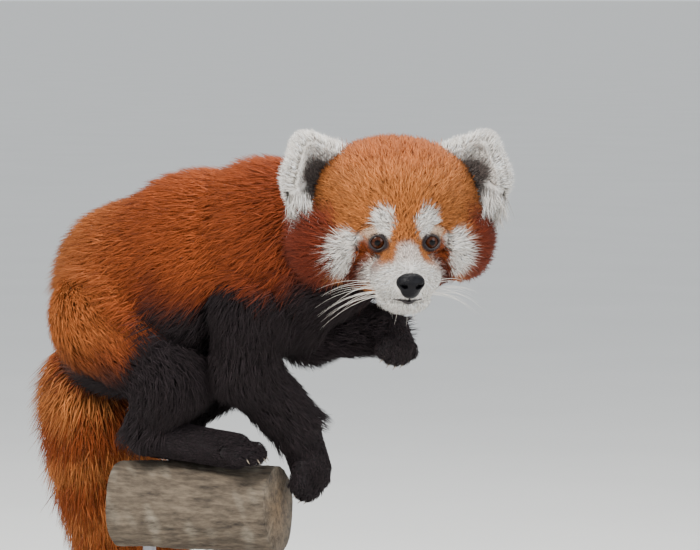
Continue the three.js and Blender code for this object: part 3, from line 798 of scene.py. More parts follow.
def colour_of(spots, part):
    colour = body_colour(spots)
    local = to_head(spots)
    # the back of the head runs over into the body's colours
    faced = over(colour, face_colour(local), step(30, 14, local[:, 1]))
    colour = np.where((part == HEAD_PART)[:, None], faced, colour)
    for k, ear in enumerate(EARS):
        on = part == FIRST_EAR + k
        if on.any():
            colour[on] = ear_colour(to_ear(local[on], ear), ear[0])
    on = part == TAIL_PART
    if on.any():
        away = step(0.02, 0.12, np.linalg.norm(spots[on] - TAIL_ROOT, axis=1) / 400)
        colour[on] = over(colour[on], tail_colour(spots[on]), away)
    # the hind legs keep the body's marks, and the forelegs and all feet are black
    on = (part >= FIRST_LIMB) & ~np.isin(part, HIND_LIMBS)
    colour[on] = BLACK * (1 + 0.15 * wave(spots[on], 9, 9)[:, None])
    return np.clip(colour, 0.002, 0.95)


point_part = which_part(points)
print("skin points on each part", np.bincount(point_part))

# %% [markdown]
# ## The skin piece
# Skin shows only where the hair parts, so it is the coat's colour, darker, as the shade between
# hairs is. It takes the place of all the flesh solids. It is unwrapped from its own shape, in many
# islands, and that unwrap also gives every tuft its place on the colour sheet.

# %% Skin
FLESH = ["torso", "neck", "head", "ear_left", "ear_right", "tail_1", "tail_2", "tail_3"]
for limb in ("foreleg", "forepaw", "hindleg", "hindpaw"):
    FLESH += [limb + "_left", limb + "_right"]
skin_piece = make("skin", points, quads)
skin_colour = colour_of(points, point_part)
paint(skin_piece, skin_colour * (0.55 + 0.3 * skin_colour.mean(1)[:, None]))
skin_piece.data.materials.append(painted_finish("skin", 0.85))
print("solids that the skin takes the place of", len(FLESH))

# %% Unwrap
bpy.context.view_layer.objects.active = skin_piece
skin_piece.select_set(True)
skin_piece.data.uv_layers.new(name="OFBake")
bpy.ops.object.mode_set(mode="EDIT")
bpy.ops.mesh.select_all(action="SELECT")
bpy.ops.uv.smart_project(angle_limit=1.15, island_margin=0.002)
bpy.ops.object.mode_set(mode="OBJECT")
skin_piece.select_set(False)
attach(skin_piece, "root")
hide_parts(*FLESH)
loops = len(skin_piece.data.loops)
uv = np.zeros(loops * 2, np.float32)
skin_piece.data.uv_layers["OFBake"].data.foreach_get("uv", uv)
corner = np.zeros(loops, np.int32)
skin_piece.data.loops.foreach_get("vertex_index", corner)
faces = corner.reshape(-1, 4)
face_uv = uv.reshape(-1, 4, 2)
print("faces unwrapped", len(faces))


# %% [markdown]
# ## The lie of the coat
# Hair lies back and down over the trunk, down each leg, along the tail and outward from the nose
# over the face. Combing it by hand is one way. Here each part has a rule for the way its hair runs,
# which is then laid flat on the skin by taking away what points out of it.


# %% Ways of the hair
def trunk_way(spots, out):
    way = np.tile(xyz(-1, 0, -0.3), (len(spots), 1))
    way[:, 2] -= 0.35 * np.abs(out[:, 1]) + 0.25 * np.clip(-out[:, 0], 0, 1)
    return way


def face_way(local):
    way = local - xyz(0, -78, -20)
    way[:, 2] = np.where(local[:, 2] > -8, way[:, 2] * 0.6, way[:, 2])
    way[:, 2] -= 0.5 * np.clip(np.abs(local[:, 0]) - 30, 0, 30)
    return way @ HEAD.T


def on_fringe(local, half):
    # the long white hair at the outer foot of the ear
    return (half * local[:, 0] > 9) & (local[:, 2] < 6) & (local[:, 1] < 3)


def ear_way(local, ear):
    half, _, turn = ear
    way = local - xyz(-half * 8, 0, -12)
    way[:, 1] *= 0.2
    way = np.where(on_fringe(local, half)[:, None], xyz(half * 0.55, -0.25, -0.8), way)
    return way @ turn.T @ HEAD.T


def limb_way(spots, leg):
    (a, _), (b, _), (c, _) = leg
    upper, lower = unit(b - a), unit(c - b)
    bend = step(0, 1, np.clip((spots - b) @ unit(c - a) / 40 + 0.5, 0, 1))
    return upper + (lower - upper) * bend


def lie(spots, out, part):
    local = to_head(spots)
    way = trunk_way(spots, out)
    way = np.where((part == HEAD_PART)[:, None], face_way(local), way)
    for k, ear in enumerate(EARS):
        way = np.where((part == FIRST_EAR + k)[:, None], ear_way(to_ear(local, ear), ear), way)
    along = np.gradient(tail_line, axis=0)[nearest_on_tail(spots)]
    way = np.where((part == TAIL_PART)[:, None], along, way)
    for k, paw in enumerate(PAWS.values()):
        way = np.where((part == FIRST_LIMB + k)[:, None], limb_way(spots, paw["leg"]), way)
        way = np.where((part == FIRST_PAW + k)[:, None], unit(paw["way"]), way)
    way = way / (np.linalg.norm(way, axis=1, keepdims=True) + 1e-9)
    way = way - out * np.sum(way * out, 1, keepdims=True)
    return way / (np.linalg.norm(way, axis=1, keepdims=True) + 1e-9)


print("hair on the raised paw runs", unit(PAWS["left_fore"]["way"]).round(2))

# %% [markdown]
# ## Length of the coat
# The tail's hair is longest, the back's is long, and the face and feet have the shortest. A tuft's
# lift says how high its tip stands off the skin, and is close to the depth that the skin was drawn
# in by. On the head the hair grows longer from the nose to the crown and out to the cheeks.

# %% Sizes of the hair
# length, lift and half width of a tuft
TRUNK_COAT = (30.0, 13.5, 0.52)
TAIL_COAT = (48, 21, 0.62)
LIMB_COAT = (19, 7.5, 0.52)
PAW_COAT = (5.2, 1.5, 0.38)


def head_hair(local):
    x, y, z = local.T
    face = np.clip((y + 78) / 80, 0, 1)
    crown = np.clip((z - 2) / 26, 0, 1)
    chin = (z < -45) & (y < -34)
    cheek = np.clip((np.abs(x) - 38) / 14, 0, 1) * np.clip((8 - z) / 16, 0, 1)
    cheek = cheek * np.where(x < 0, 1.45, 0.6)
    long = 3.8 + 11 * face**1.2 + 5 * crown + 15 * cheek + 4 * chin
    lift = 1 + 4.6 * face + 3.6 * crown + 5 * cheek + 1.5 * chin
    from_eye = np.hypot(np.abs(x) - EYE_ASIDE, z - EYE_UP)
    close = (from_eye < 13) & (y < -25)
    long = np.where(close, 1.3 + 0.3 * np.clip(from_eye - 5, 0, 9), long)
    lift = np.where(close, 0.4, lift)
    return np.stack([long, lift, 0.26 + 0.24 * face], -1)


def ear_hair(local, half):
    rim = np.clip((np.hypot(local[:, 0] + half * 6, local[:, 2] - 1) - 12) / 9, 0, 1)
    fringe = on_fringe(local, half)
    long = 5 + 6 * rim + 13 * fringe
    lift = 1.3 + 1.6 * rim + 2.5 * fringe
    return np.stack([long, lift, np.full(len(local), 0.34)], -1)


def hair_sizes(spots, part):
    local = to_head(spots)
    size = np.tile(TRUNK_COAT, (len(spots), 1))
    size = np.where((part == HEAD_PART)[:, None], head_hair(local), size)
    for k, ear in enumerate(EARS):
        size = np.where((part == FIRST_EAR + k)[:, None], ear_hair(to_ear(local, ear), ear[0]), size)
    size[part == TAIL_PART] = TAIL_COAT
    size[(part >= FIRST_LIMB) & (part < FIRST_PAW)] = LIMB_COAT
    size[part >= FIRST_PAW] = PAW_COAT
    return size.T


print("longest hair", TAIL_COAT[0], "mm on the tail, shortest", PAW_COAT[0], "mm on the paws")

# %% [markdown]
# ## Roots
# A real coat has far more hairs than any mesh could hold, so each tuft stands for a pinch of them.
# The roots are scattered by area, most thickly on the ears and the face. None grow on the nose pad
# or in the opening of the lids.

# %% Roots
# tufts for each square millimetre: trunk, head, two ears, tail, four limbs, four paws
TUFTS_PER_MM2 = np.array([0.75, 1.05, 1.5, 1.5, 0.8, *[0.6] * 4, *[1.0] * 4])
FACE_EXTRA = 1.5
triangles = np.concatenate([faces[:, [0, 1, 2]], faces[:, [0, 2, 3]]])
triangle_uv = np.concatenate([face_uv[:, 0], face_uv[:, 0]])
A, B, C = points[triangles[:, 0]], points[triangles[:, 1]], points[triangles[:, 2]]
area = np.linalg.norm(np.cross(B - A, C - A), axis=1) / 2
middle = (A + B + C) / 3
triangle_part = which_part(middle)
wanted = area * TUFTS_PER_MM2[triangle_part]
on_face = (triangle_part == HEAD_PART) & (to_head(middle)[:, 1] < -25)
wanted = wanted * np.where(on_face, FACE_EXTRA, 1)
pick = np.repeat(np.arange(len(triangles)), rng.poisson(wanted))
first, second = rng.random(len(pick)), rng.random(len(pick))
along = np.sqrt(first)
share_a, share_b, share_c = 1 - along, along * (1 - second), along * second
root = A[pick] * share_a[:, None] + B[pick] * share_b[:, None] + C[pick] * share_c[:, None]
print("roots drawn", len(root))

# %% Bare places
root_part = triangle_part[pick]
root_uv = triangle_uv[pick]
local = to_head(root)
bare = np.linalg.norm((local - xyz(0, -80, -31)) / xyz(11, 11, 9.5), axis=1) < 1
for half in SIDES:
    in_lids = np.hypot((local[:, 0] - half * 19.8) / 6.3, (local[:, 2] + 9) / 5.4) < 1
    bare |= in_lids & (local[:, 1] < -36)
root, root_part, root_uv = root[~bare], root_part[~bare], root_uv[~bare]
root_out = slope(skin, root)
root_way = lie(root, root_out, root_part)
print("tufts", len(root))

# %% [markdown]
# ## Colour of the tufts
# No two hairs are quite alike. Each tuft takes the marking at its root, a little lighter or darker,
# and some are much darker, most of all on the crown, which gives the flecks that show there.

# %% Tuft colours
tuft_size = hair_sizes(root, root_part)
shade = 1 + 0.2 * rng.normal(size=(len(root), 1)) * np.array([[1, 1.05, 1.1]])
on_crown = (root_part == HEAD_PART) & (to_head(root)[:, 2] > 4)
flecked = np.where(on_crown, 0.24, 0.1)[:, None]
shade = shade * np.where(rng.random((len(root), 1)) < flecked, 0.6, 1)
tuft_colour = np.clip(colour_of(root, root_part) * np.clip(shade, 0.4, 1.6), 0.001, 0.95)
print("mean colour of the coat", tuft_colour.mean(0).round(3))

# %% [markdown]
# ## Tufts
# Hair could be a particle system, but this coat has to be solid mesh. Each tuft is a closed
# spindle: a root point, a small triangle where it bends over, and a tip. It is painted dark at the
# root and light at the tip, painted shade deep in the coat and painted light on the tips, and this
# shading does much to make the coat look deep.

# %% Tuft mesh
TUFT_FACES = np.array([(0, 2, 1), (0, 3, 2), (0, 1, 3), (1, 2, 4), (2, 3, 4), (3, 1, 4)])
TUFT_POINTS = 5
TUFT_SHADE_AND_LIGHT = np.array([0.62, 0.94, 0.94, 0.94, 1.1])  # painted shade and light along a tuft: root, the three at the bend, tip
BEND_ALONG = 0.42
BEND_HIGH = 0.62
PATCH = 0.0015  # half the width of a tuft's place on the colour sheet
TRIANGLES_A_PIECE = 196000
TUFTS_A_PIECE = TRIANGLES_A_PIECE // len(TUFT_FACES)


def tuft_points(root, out, way, size, unruly):
    n = len(root)
    side = np.cross(out, way)
    turn = rng.normal(0, unruly, n)[:, None]
    way = way * np.cos(turn) + side * np.sin(turn)
    side = np.cross(out, way)
    long, lift, thin = size
    long = (long * rng.uniform(0.72, 1.15, n))[:, None]
    lift = (lift * rng.uniform(0.6, 1.15, n))[:, None]
    thin = (thin * rng.uniform(0.75, 1.25, n))[:, None]
    sway = rng.normal(0, 0.05, n)[:, None] * long
    flat = np.sqrt(np.maximum(long**2 - lift**2, (0.5 * long) ** 2))
    rise = out * lift * BEND_HIGH
    bend = root + way * flat * BEND_ALONG + rise + side * sway * BEND_ALONG * BEND_ALONG
    tip = root + way * flat + out * lift * 0.98 + side * sway
    ridge = out * thin * 0.8
    return np.stack([root - out * 0.6, bend + side * thin, bend + ridge, bend - side * thin, tip], 1)


def tuft_piece(name, points, colour, uv_at, finish):
    n = len(points)
    faces = (TUFT_FACES[None] + (np.arange(n) * TUFT_POINTS)[:, None, None]).reshape(-1, 3)
    obj = make(name, points.reshape(-1, 3), faces)
    # painted shade along each tuft, darkest at the root and lightest at the tip; pale hair is shaded
    # less, because light passes through it
    pale = colour.mean(1)[:, None, None]
    shade_and_light = TUFT_SHADE_AND_LIGHT[None, :, None]
    shaded = colour[:, None] * (shade_and_light + (1 - shade_and_light) * 0.7 * pale)
    paint(obj, np.clip(shaded, 0.001, 1).reshape(-1, 3))
    turn = np.arange(TUFT_POINTS) * FULL_TURN / TUFT_POINTS
    ring = np.stack([np.cos(turn), np.sin(turn)], -1) * PATCH
    place = np.clip(uv_at[:, None] + ring[None], 0, 1).reshape(-1, 2)
    layer = obj.data.uv_layers.new(name="OFBake")
    layer.data.foreach_set("uv", place[faces.ravel()].astype(np.float32).ravel())
    obj.data.materials.append(finish)
    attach(obj, "root")
    return obj


print("tufts in a piece, at most", TUFTS_A_PIECE)

# %% [markdown]
# ## The coat in pieces
# Each piece holds at most a set number of tufts, so the coat is divided by parts of the body, and
# each part along the animal's length. The head's hair is the most unruly.

# %% Coat
FUR = painted_finish("fur", 0.8, gloss=0.22)
UNRULY = 0.24  # how far a tuft turns from the lie, in radians
UNRULY_HEAD = 0.36
COAT_PARTS = {
    "coat_body": root_part == 0,
    "coat_tail": root_part == TAIL_PART,
    "coat_limbs": (root_part >= FIRST_LIMB) & (root_part < FIRST_PAW),
    "coat_head": root_part == HEAD_PART,
    "coat_ears": (root_part >= FIRST_EAR) & (root_part < TAIL_PART),
    "coat_paws": root_part >= FIRST_PAW,
}
coat = []
for name, mask in COAT_PARTS.items():
    unruly = UNRULY_HEAD if name == "coat_head" else UNRULY
    spindles = tuft_points(root[mask], root_out[mask], root_way[mask], tuft_size[:, mask], unruly)
    colours, places = tuft_colour[mask], root_uv[mask]
    order = np.argsort(root[mask][:, 0])
    for m, start in enumerate(range(0, len(order), TUFTS_A_PIECE)):
        take = order[start : start + TUFTS_A_PIECE]
        coat.append(tuft_piece(f"{name}_{m + 1}", spindles[take], colours[take], places[take], FUR))
print("coat pieces", len(coat), "triangles", sum(len(o.data.polygons) for o in coat))


# %% [markdown]
# ## Tubes
# Lid rims, lips, whiskers and claws are all thin round things that follow a line and taper. Curve
# objects would do, but a mesh made ring by ring is closed at both ends and needs no conversion.


# %% Tube helper
def ring_quads(rows, sides):
    quads = []
    for i in range(rows):
        row, beyond = i * sides, (i + 1) * sides
        for j in range(sides):
            k = (j + 1) % sides
            quads.append((row + j, row + k, beyond + k, beyond + j))
    return quads


def tube(points, radii, sides=8):
    points = np.asarray(points, float)
    way = np.gradient(points, axis=0)
    way /= np.linalg.norm(way, axis=1, keepdims=True)
    lean = xyz(0.1, 0.2, 0.97)
    if abs(way[0] @ lean) >= 0.9:
        lean = xyz(1, 0, 0)
    verts = []
    for point, ahead, radius in zip(points, way, radii):
        a = unit(np.cross(ahead, lean))
        b = np.cross(ahead, a)
        for j in range(sides):
            t = 2 * np.pi * j / sides
            verts.append(point + (a * np.cos(t) + b * np.sin(t)) * radius)
    faces = []
    for a, b, c, d in ring_quads(len(points) - 1, sides):
        faces += [(a, b, c), (a, c, d)]
    first = len(verts)
    last_ring = (len(points) - 1) * sides
    for j in range(sides):
        k = (j + 1) % sides
        faces += [(first, k, j), (first + 1, last_ring + j, last_ring + k)]
    return np.array([*verts, points[0], points[-1]]), np.array(faces)


def join(parts):
    verts, faces, base = [], [], 0
    for part_verts, part_faces in parts:
        verts.append(part_verts)
        faces.append(part_faces + base)
        base += len(part_verts)
    return np.concatenate(verts), np.concatenate(faces)


print("a tube of two rings has", len(tube([xyz(0, 0, 0), xyz(0, 0, 1)], [1, 1])[1]), "faces")

# %% [markdown]
# ## Eyes
# The eye is dark brown, with a round pupil and a darker edge to the iris. It is a whole glossy
# ball, and the lids leave an almond opening about 11 mm wide. The colours are painted in rings
# round the way it looks, with fine spokes in the iris.

# %% Eyeballs
EYE_RADIUS = 7.4
IRIS = linear(60, 30, 16)
PUPIL = linear(4, 3, 4)
EYE_ROWS = 36
EYE_SPOKES = 48


def eye_axes(half):
    look = unit(xyz(half * EYE_TURN, -1, 0.04))
    across = unit(np.cross(look, xyz(0, 0, 1)))
    return look, across, np.cross(across, look)


for half, centre in EYES:
    side_name = "left" if half > 0 else "right"
    look, across, above = eye_axes(half)
    verts, ball_faces = [], ring_quads(EYE_ROWS, EYE_SPOKES)
    for i in range(EYE_ROWS + 1):
        a = np.pi * i / EYE_ROWS
        for j in range(EYE_SPOKES):
            b = 2 * np.pi * j / EYE_SPOKES
            out = look * np.cos(a) + (across * np.cos(b) + above * np.sin(b)) * np.sin(a)
            verts.append(centre + out * EYE_RADIUS)
    angle = np.degrees(np.repeat(np.arange(EYE_ROWS + 1) * np.pi / EYE_ROWS, EYE_SPOKES))
    spoke = 1 + 0.25 * np.sin(np.tile(np.arange(EYE_SPOKES), EYE_ROWS + 1) * 5.1)
    colour = np.where((angle < 20)[:, None], PUPIL, IRIS * spoke[:, None])
    colour = over(colour, PUPIL, step(32, 40, angle))
    eyeball = make("eyeball_" + side_name, from_head(np.array(verts)), ball_faces)
    paint(eyeball, colour)
    eyeball.data.materials.append(painted_finish("eye_" + side_name, 0.05, gloss=0.16))
    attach(eyeball, "root")
    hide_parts("eye_" + side_name)
    print("eyeball", side_name, "faces", len(ball_faces))

# %% [markdown]
# ## Lid rims
# The edge of each lid is bare and dark, which makes the eye look larger than it is. It is a thin
# ring that follows the almond opening on the ball.

# %% Lid rims
rims = []
for half, centre in EYES:
    look, across, above = eye_axes(half)
    ring = []
    for t in np.linspace(0, 2 * np.pi, 41):
        x = OPENING[0] * np.cos(t)
        y = OPENING[1] * np.sin(t) * (1 - 0.12 * np.cos(2 * t))
        out = unit(look * np.sqrt(EYE_RADIUS**2 - (x * x + y * y)) + across * x + above * y)
        ring.append(centre + out * (EYE_RADIUS + 0.5))
    rims.append(tube(ring, np.full(41, 0.75)))
verts, rim_faces = join(rims)
lid_rims = make("eyelid_rims", from_head(verts), rim_faces)
lid_rims.data.materials.append(mottled_finish("lid_skin", linear(34, 24, 24), 0.45, 400))
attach(lid_rims, "root")
print("rim faces", len(rim_faces))

# %% [markdown]
# ## Nose
# The nose pad is bare, black and moist, broad at the top and narrow below, with a nostril at each
# side that curls outward and a groove under it. It is made as the skin is, from two eggs with the
# nostrils and the groove cut out, on a much finer grid.

# %% Nose
pad = soft(3, egg(xyz(0, -79, -30), [10.4, 7.8, 7.2]), egg(xyz(0, -78, -36), [6.8, 7.2, 6]))
nostrils = soft(
    1.5,
    *[stick(xyz(h * 3.6, -90, -32.3), xyz(h * 4.8, -83, -31.3), 1.3, 1.8) for h in SIDES],
    *[stick(xyz(h * 5, -84.8, -31.5), xyz(h * 9, -82, -30.3), 1.2, 0.7) for h in SIDES],
)
groove = stick(xyz(0, -88, -35), xyz(0, -84, -43), 0.7, 0.8)
NOSE_GRID = 0.7


def nose_form(spots):
    return np.maximum(np.maximum(pad(spots), -nostrils(spots)), -groove(spots))


verts, nose_faces = surface(
    nose_form,
    np.arange(-13, 13.1, NOSE_GRID),
    np.arange(-92, -66, NOSE_GRID),
    np.arange(-46, -20, NOSE_GRID),
)
nose_pad = make("nose_pad", from_head(verts), nose_faces)
nose_skin = mottled_finish("nose_skin", linear(12, 11, 15), 0.36, 900, gloss=0.16, strength=0.5)
nose_pad.data.materials.append(nose_skin)
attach(nose_pad, "root")
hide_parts("nose")
print("nose faces", len(nose_faces))

# %% [markdown]
# ## Lips
# The mouth is closed. It shows as a dark line that turns up at its ends, joined to the nose by a
# short cleft. The line is settled onto the head's form, so it lies on the muzzle wherever that is.

# %% Lips
x = np.linspace(-21, 21, 31)
dip = 1.6 * np.exp(-((x / 5) ** 2))
lip_line = settle(head_form, np.stack([x, -80 + 0.042 * x**2, -49.5 + 0.011 * x**2 - dip], 1), 6)
cleft_start = np.stack([np.zeros(7), np.linspace(-86, -79, 7), np.linspace(-41, -50, 7)], 1)
cleft_line = settle(head_form, cleft_start, 6)
full = 0.95 * np.sin(np.linspace(0.25, np.pi - 0.25, 31))
verts, lip_faces = join([tube(lip_line, full * 1.25 + 0.3), tube(cleft_line, np.full(7, 0.85))])
lips = make("lips", from_head(verts), lip_faces)
lips.data.materials.append(mottled_finish("lip_skin", linear(26, 15, 16), 0.45, 500))
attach(lips, "root")
print("mouth width", round(float(np.ptp(lip_line[:, 0]))), "mm")


# %% [markdown]
# ## Whiskers
# Stiff pale bristles stand out from both sides of the muzzle and droop at their ends, with a few
# short ones under the chin. They taper to a point, so each is a thin tube along a line that falls
# away.

# %% Whiskers
bristles = []
for half in SIDES:
    for _ in range(18):
        start = xyz(half * rng.uniform(13, 22), rng.uniform(-72, -56), rng.uniform(-46, -32))
        start = settle(head_form, start[None], 6)[0]
        way = unit(xyz(half * rng.uniform(0.8, 1.1), rng.uniform(-0.1, 0.55), rng.uniform(-0.2, 0.2)))
        length = rng.uniform(34, 56)
        t = np.linspace(0, 1, 7)[:, None]
        droop = xyz(-half * 0.14, 0.1, -0.34) * length
        line = start + way * length * t + droop * t**2
        bristles.append(tube(line, 0.17 * (1 - 0.85 * t[:, 0]), 4))
for _ in range(7):
    start = xyz(rng.uniform(-12, 12), rng.uniform(-62, -45), -58)
    start = settle(head_form, start[None], 6)[0]
    way = unit(xyz(rng.uniform(-0.5, 0.5), rng.uniform(-0.3, 0.3), -1))
    t = np.linspace(0, 1, 6)[:, None]
    length = rng.uniform(9, 15)
    bristles.append(tube(start + way * length * t, 0.14 * (1 - 0.85 * t[:, 0]), 4))
verts, whisker_faces = join(bristles)
whiskers = make("whiskers", from_head(verts), whisker_faces)
whiskers.data.materials.append(mottled_finish("bristle", linear(238, 232, 222), 0.35, 200, mottle=0.05))
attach(whiskers, "root")
print("whiskers", len(bristles))

# %% [markdown]
# ## Claws
# Each toe ends in a curved claw that is half drawn in. It leaves the toe's tip a little above the
# middle and bends down as it tapers.

# %% Claws
CLAW_LENGTH = 7
CLAW_DROP = 4
claws = []
for paw in PAWS.values():
    for end, ahead, back, radius in toe_tips(paw):
        t = np.linspace(0, 1, 8)[:, None]
        start = end + ahead * (radius * 0.55) + back * (radius * 0.15)
        line = start + ahead * CLAW_LENGTH * t - back * CLAW_DROP * t**2
        claws.append(tube(line, 1.25 * (1 - 0.88 * t[:, 0] ** 1.2)))
verts, claw_faces = join(claws)
claw_piece = make("claws", verts, claw_faces)
claw_piece.data.materials.append(mottled_finish("horn", linear(150, 136, 118), 0.35, 300))
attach(claw_piece, "root")
print("claws", len(claws))

# %% [markdown]
# ## Branch
# The perch is the cut end of a dead limb, worn and a little out of round, with a swelling at an old
# knot. It could be a plain cylinder with a bark texture, but its outline would then be too clean,
# so the ridges of the bark are in the mesh.

# %% Branch mesh
BRANCH_RADIUS = 33
BRANCH_RINGS = 120
front, rear = xyz(68, -13, -33), xyz(-57, -28, -33)
ahead = unit(rear - front)
side = unit(np.cross(xyz(0, 0, 1), ahead))
up = xyz(0, 0, 1)
wood = []
for i in range(BRANCH_RINGS + 1):
    s = i / BRANCH_RINGS
    for j in range(BRANCH_RINGS):
        t = 2 * np.pi * j / BRANCH_RINGS
        knot = 3.5 * np.exp(-(((s - 0.62) / 0.13) ** 2)) * max(0, np.cos(t - 3.6))
        worn = 0.7 * np.sin(3 * t + 5 * s) + 0.5 * np.sin(5 * t - 9 * s) - 0.4 * max(0, np.sin(t))
        lean = 1.5 * np.sin(t) if i == 0 else 0
        centre = front + (rear - front) * s + ahead * lean
        spoke = side * np.cos(t) + up * np.sin(t)
        wood.append(centre + spoke * (BRANCH_RADIUS + worn + knot))
wood = np.array(wood)
ridges = 0.5 * wave(wood * xyz(0.5, 1, 1), 7, 21) + 0.35 * wave(wood * xyz(0.3, 1.4, 1.4), 3.5, 22) - 0.45
on_axis = front + np.outer((wood - front) @ ahead, ahead)
outward = wood - on_axis
wood = wood + outward / np.linalg.norm(outward, axis=1, keepdims=True) * ridges[:, None]
branch_faces = []
for a, b, c, d in ring_quads(BRANCH_RINGS, BRANCH_RINGS):
    branch_faces += [(a, d, c), (a, c, b)]
middles = len(wood)
last_ring = BRANCH_RINGS * BRANCH_RINGS
for j in range(BRANCH_RINGS):
    k = (j + 1) % BRANCH_RINGS
    branch_faces += [(middles, j, k), (middles + 1, last_ring + k, last_ring + j)]
wood = np.vstack([wood, wood[:BRANCH_RINGS].mean(0), wood[-BRANCH_RINGS:].mean(0)])
branch = make("perch_bark", wood, branch_faces)
print("branch faces", len(branch_faces))

# %% [markdown]
# ## Bark
# Bark is grey-brown, dark in its cracks and paler where it has weathered. The large patches are
# painted on the points. The fine grain is a noise that is stretched along the branch, and it
# raises the surface a little where it is high and darkens the colour where it is low, in the
# grooves: partly the bark's own darker colour there, and partly painted shade in them.

# %% Bark finish
pale = np.clip(wave(wood, 26, 23) * 1.6 - 0.1, 0, 1)[:, None]
dark = np.clip(wave(wood * xyz(0.25, 1, 1), 5, 24), 0, 1)[:, None]
bark_colour = over(linear(112, 100, 86) * (1 - 0.5 * dark), linear(168, 160, 146), pale * 0.4)
bark_colour[middles:] = linear(120, 98, 72)
paint(branch, bark_colour)
bark = painted_finish("bark", 0.9)
nodes, links = bark.node_tree.nodes, bark.node_tree.links
where = nodes.new("ShaderNodeTexCoord")
stretch = nodes.new("ShaderNodeMapping")
stretch.inputs["Scale"].default_value = (0.22, 1, 1)
links.new(where.outputs["Object"], stretch.inputs["Vector"])
grain = nodes.new("ShaderNodeTexNoise")
grain.inputs["Scale"].default_value = 210
grain.inputs["Detail"].default_value = 8
grain.inputs["Roughness"].default_value = 0.7
links.new(stretch.outputs["Vector"], grain.inputs["Vector"])
# painted shade: the grain darkens the colour in its low grooves, partly the bark's own colour there and
# partly shade
crack_colour_and_shade = add_ramp(bark, grain.outputs["Fac"], (0.32, (0.22, 0.2, 0.18)), (0.66, (1.15, 1.12, 1.06)))
darken = nodes.new("ShaderNodeMix")
darken.data_type = "RGBA"
darken.blend_type = "MULTIPLY"
darken.inputs["Factor"].default_value = 1
links.new(nodes["Attribute"].outputs["Color"], darken.inputs["A"])
links.new(crack_colour_and_shade.outputs["Color"], darken.inputs["B"])
links.new(darken.outputs["Result"], nodes["Principled BSDF"].inputs["Base Color"])
add_bump(bark, grain.outputs["Fac"], 0.8, 0.002)
branch.data.materials.append(bark)
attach(branch, "root")
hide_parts("perch_branch")
print("bark nodes", len(nodes))

# %% [markdown]
# ## Stand
# A plain dark base and two brushed steel rods carry the branch. Their solids are already what a
# museum would make, so they are shown as they are and only get a finish.

# %% Stand finishes
stand_wood = mottled_finish("stand_wood", linear(46, 44, 46), 0.42, 30, strength=0.05, mottle=0.15)
stand_steel = mottled_finish(
    "stand_steel", linear(150, 150, 154), 0.34, 120, metal=1.0, strength=0.05, mottle=0.08
)
stand = {"stand_base": stand_wood, "stand_rod_1": stand_steel, "stand_rod_2": stand_steel}
for name, finish in stand.items():
    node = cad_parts[name]
    node.data.materials.clear()
    node.data.materials.append(finish)
print("stand nodes", list(stand))

# %% [markdown]
# ## Floor
# A pale floor that reaches the horizon keeps the background plain from every side. A curved
# backdrop would hide the model from behind.

# %% Floor
FLOOR_RADIUS = 200
floor_rim = np.linspace(0, 2 * np.pi, 64, endpoint=False)
floor_mesh = bpy.data.meshes.new("floor")
floor_mesh.from_pydata(
    [(FLOOR_RADIUS * np.cos(t), FLOOR_RADIUS * np.sin(t), 0.0) for t in floor_rim],
    [],
    [tuple(range(len(floor_rim)))],
)
floor = bpy.data.objects.new("floor", floor_mesh)
bpy.context.scene.collection.objects.link(floor)
floor.data.materials.append(
    mottled_finish("floor", linear(222, 221, 217), 0.85, 3, strength=0.0, mottle=0.02)
)
print("floor radius", FLOOR_RADIUS, "m")

# %% [markdown]
# ## Light
# Soft studio light: a warm key from the upper left, a weaker cool fill from the right, and one from
# behind and above that draws a pale edge along the back and the ears. All three are large discs, so
# their shadows are soft.

# %% Lights
CAMERA_AZIMUTH = np.radians(25.5)
right = xyz(np.cos(CAMERA_AZIMUTH), np.sin(CAMERA_AZIMUTH), 0)
away = xyz(-np.sin(CAMERA_AZIMUTH), np.cos(CAMERA_AZIMUTH), 0)
MODEL_MIDDLE = xyz(0.05, 0, 0.42)


def lamp(name, shift, size, power, tint):
    data = bpy.data.lights.new(name, "AREA")
    data.shape = "DISK"
    data.size = size
    data.energy = power
    data.color = tint
    obj = bpy.data.objects.new(name, data)
    bpy.context.scene.collection.objects.link(obj)
    place = Vector(MODEL_MIDDLE + shift)
    obj.location = place
    obj.rotation_euler = (Vector(MODEL_MIDDLE) - place).to_track_quat("-Z", "Y").to_euler()
    return obj


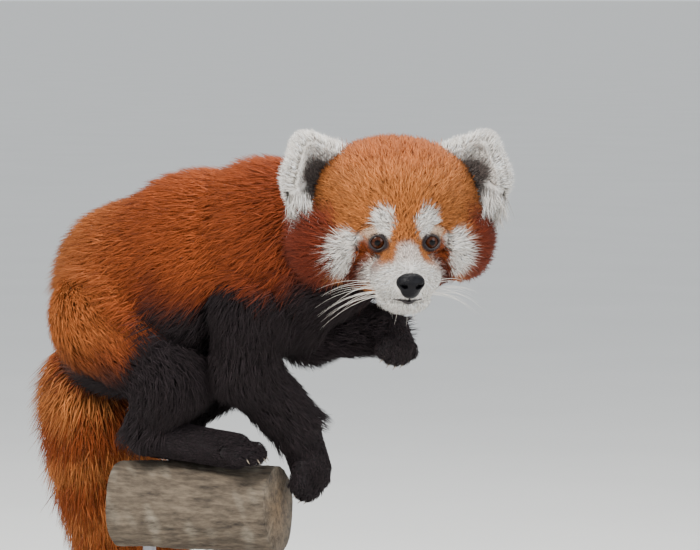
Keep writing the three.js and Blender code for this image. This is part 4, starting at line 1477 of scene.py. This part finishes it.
key = lamp("key", away * -1.6 - right * 1.0 + xyz(0, 0, 1.7), 0.9, 68, (1, 0.97, 0.93))
fill = lamp("fill", away * -1.6 + right * 1.7 + xyz(0, 0, 0.6), 1.3, 24, (0.94, 0.97, 1))
top = lamp("top", away * 0.9 + xyz(0, 0, 1.9), 1.4, 70, (1, 0.99, 0.96))
world = bpy.data.worlds.new("studio")
bpy.context.scene.world = world
world.use_nodes = True
world.node_tree.nodes["Background"].inputs["Color"].default_value = (0.86, 0.9, 0.95, 1)
world.node_tree.nodes["Background"].inputs["Strength"].default_value = 1.0
print("key light at", [round(v, 2) for v in key.location])

# %% [markdown]
# ## Camera
# The picture was taken from far off with a long lens, a little above the animal, so sizes hardly
# change with depth. One pixel is 0.73 mm at the head, and the camera is placed so that the head
# falls where it does there.

# %% Camera
PIXEL = 0.00073  # metres at the head
PICTURE = (700, 550)
HEAD_PIXEL = (395.5, 214.7)
CAMERA_FAR = 3.0
CAMERA_DOWN = np.radians(4)
SENSOR = 36
look_way = away * np.cos(CAMERA_DOWN) - xyz(0, 0, 1) * np.sin(CAMERA_DOWN)
camera_up = np.cross(right, look_way)
head_place = (HEAD_AT + ANIMAL_AT) * MM
to_side = right * (HEAD_PIXEL[0] - PICTURE[0] / 2) * PIXEL
to_top = camera_up * (HEAD_PIXEL[1] - PICTURE[1] / 2) * PIXEL
camera_at = head_place - to_side + to_top - look_way * CAMERA_FAR
camera_data = bpy.data.cameras.new("photo")
camera_data.sensor_width = SENSOR
camera_data.lens = SENSOR * CAMERA_FAR / (PICTURE[0] * PIXEL)
camera = bpy.data.objects.new("photo", camera_data)
bpy.context.scene.collection.objects.link(camera)
axes = Matrix((tuple(right), tuple(camera_up), tuple(-look_way))).transposed()
camera.matrix_world = Matrix.Translation(tuple(camera_at)) @ axes.to_4x4()
bpy.context.scene.camera = camera
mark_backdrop(floor, key, fill, top, camera)
print("lens", round(camera_data.lens), "mm")

# %% [markdown]
# ## Sizes
# Both boxes, of the solids and of the dressed model, are measured and printed, so that the two can
# be set side by side. The dressed model may pass its solids only by a little.

# %% Sizes and end
new_box = [list(corner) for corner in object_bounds()]
{"cad": [[float(x) for x in c] for c in cad_box], "visual": [[float(x) for x in c] for c in new_box]}
print("cad box", cad_box)
print("visual box", new_box)
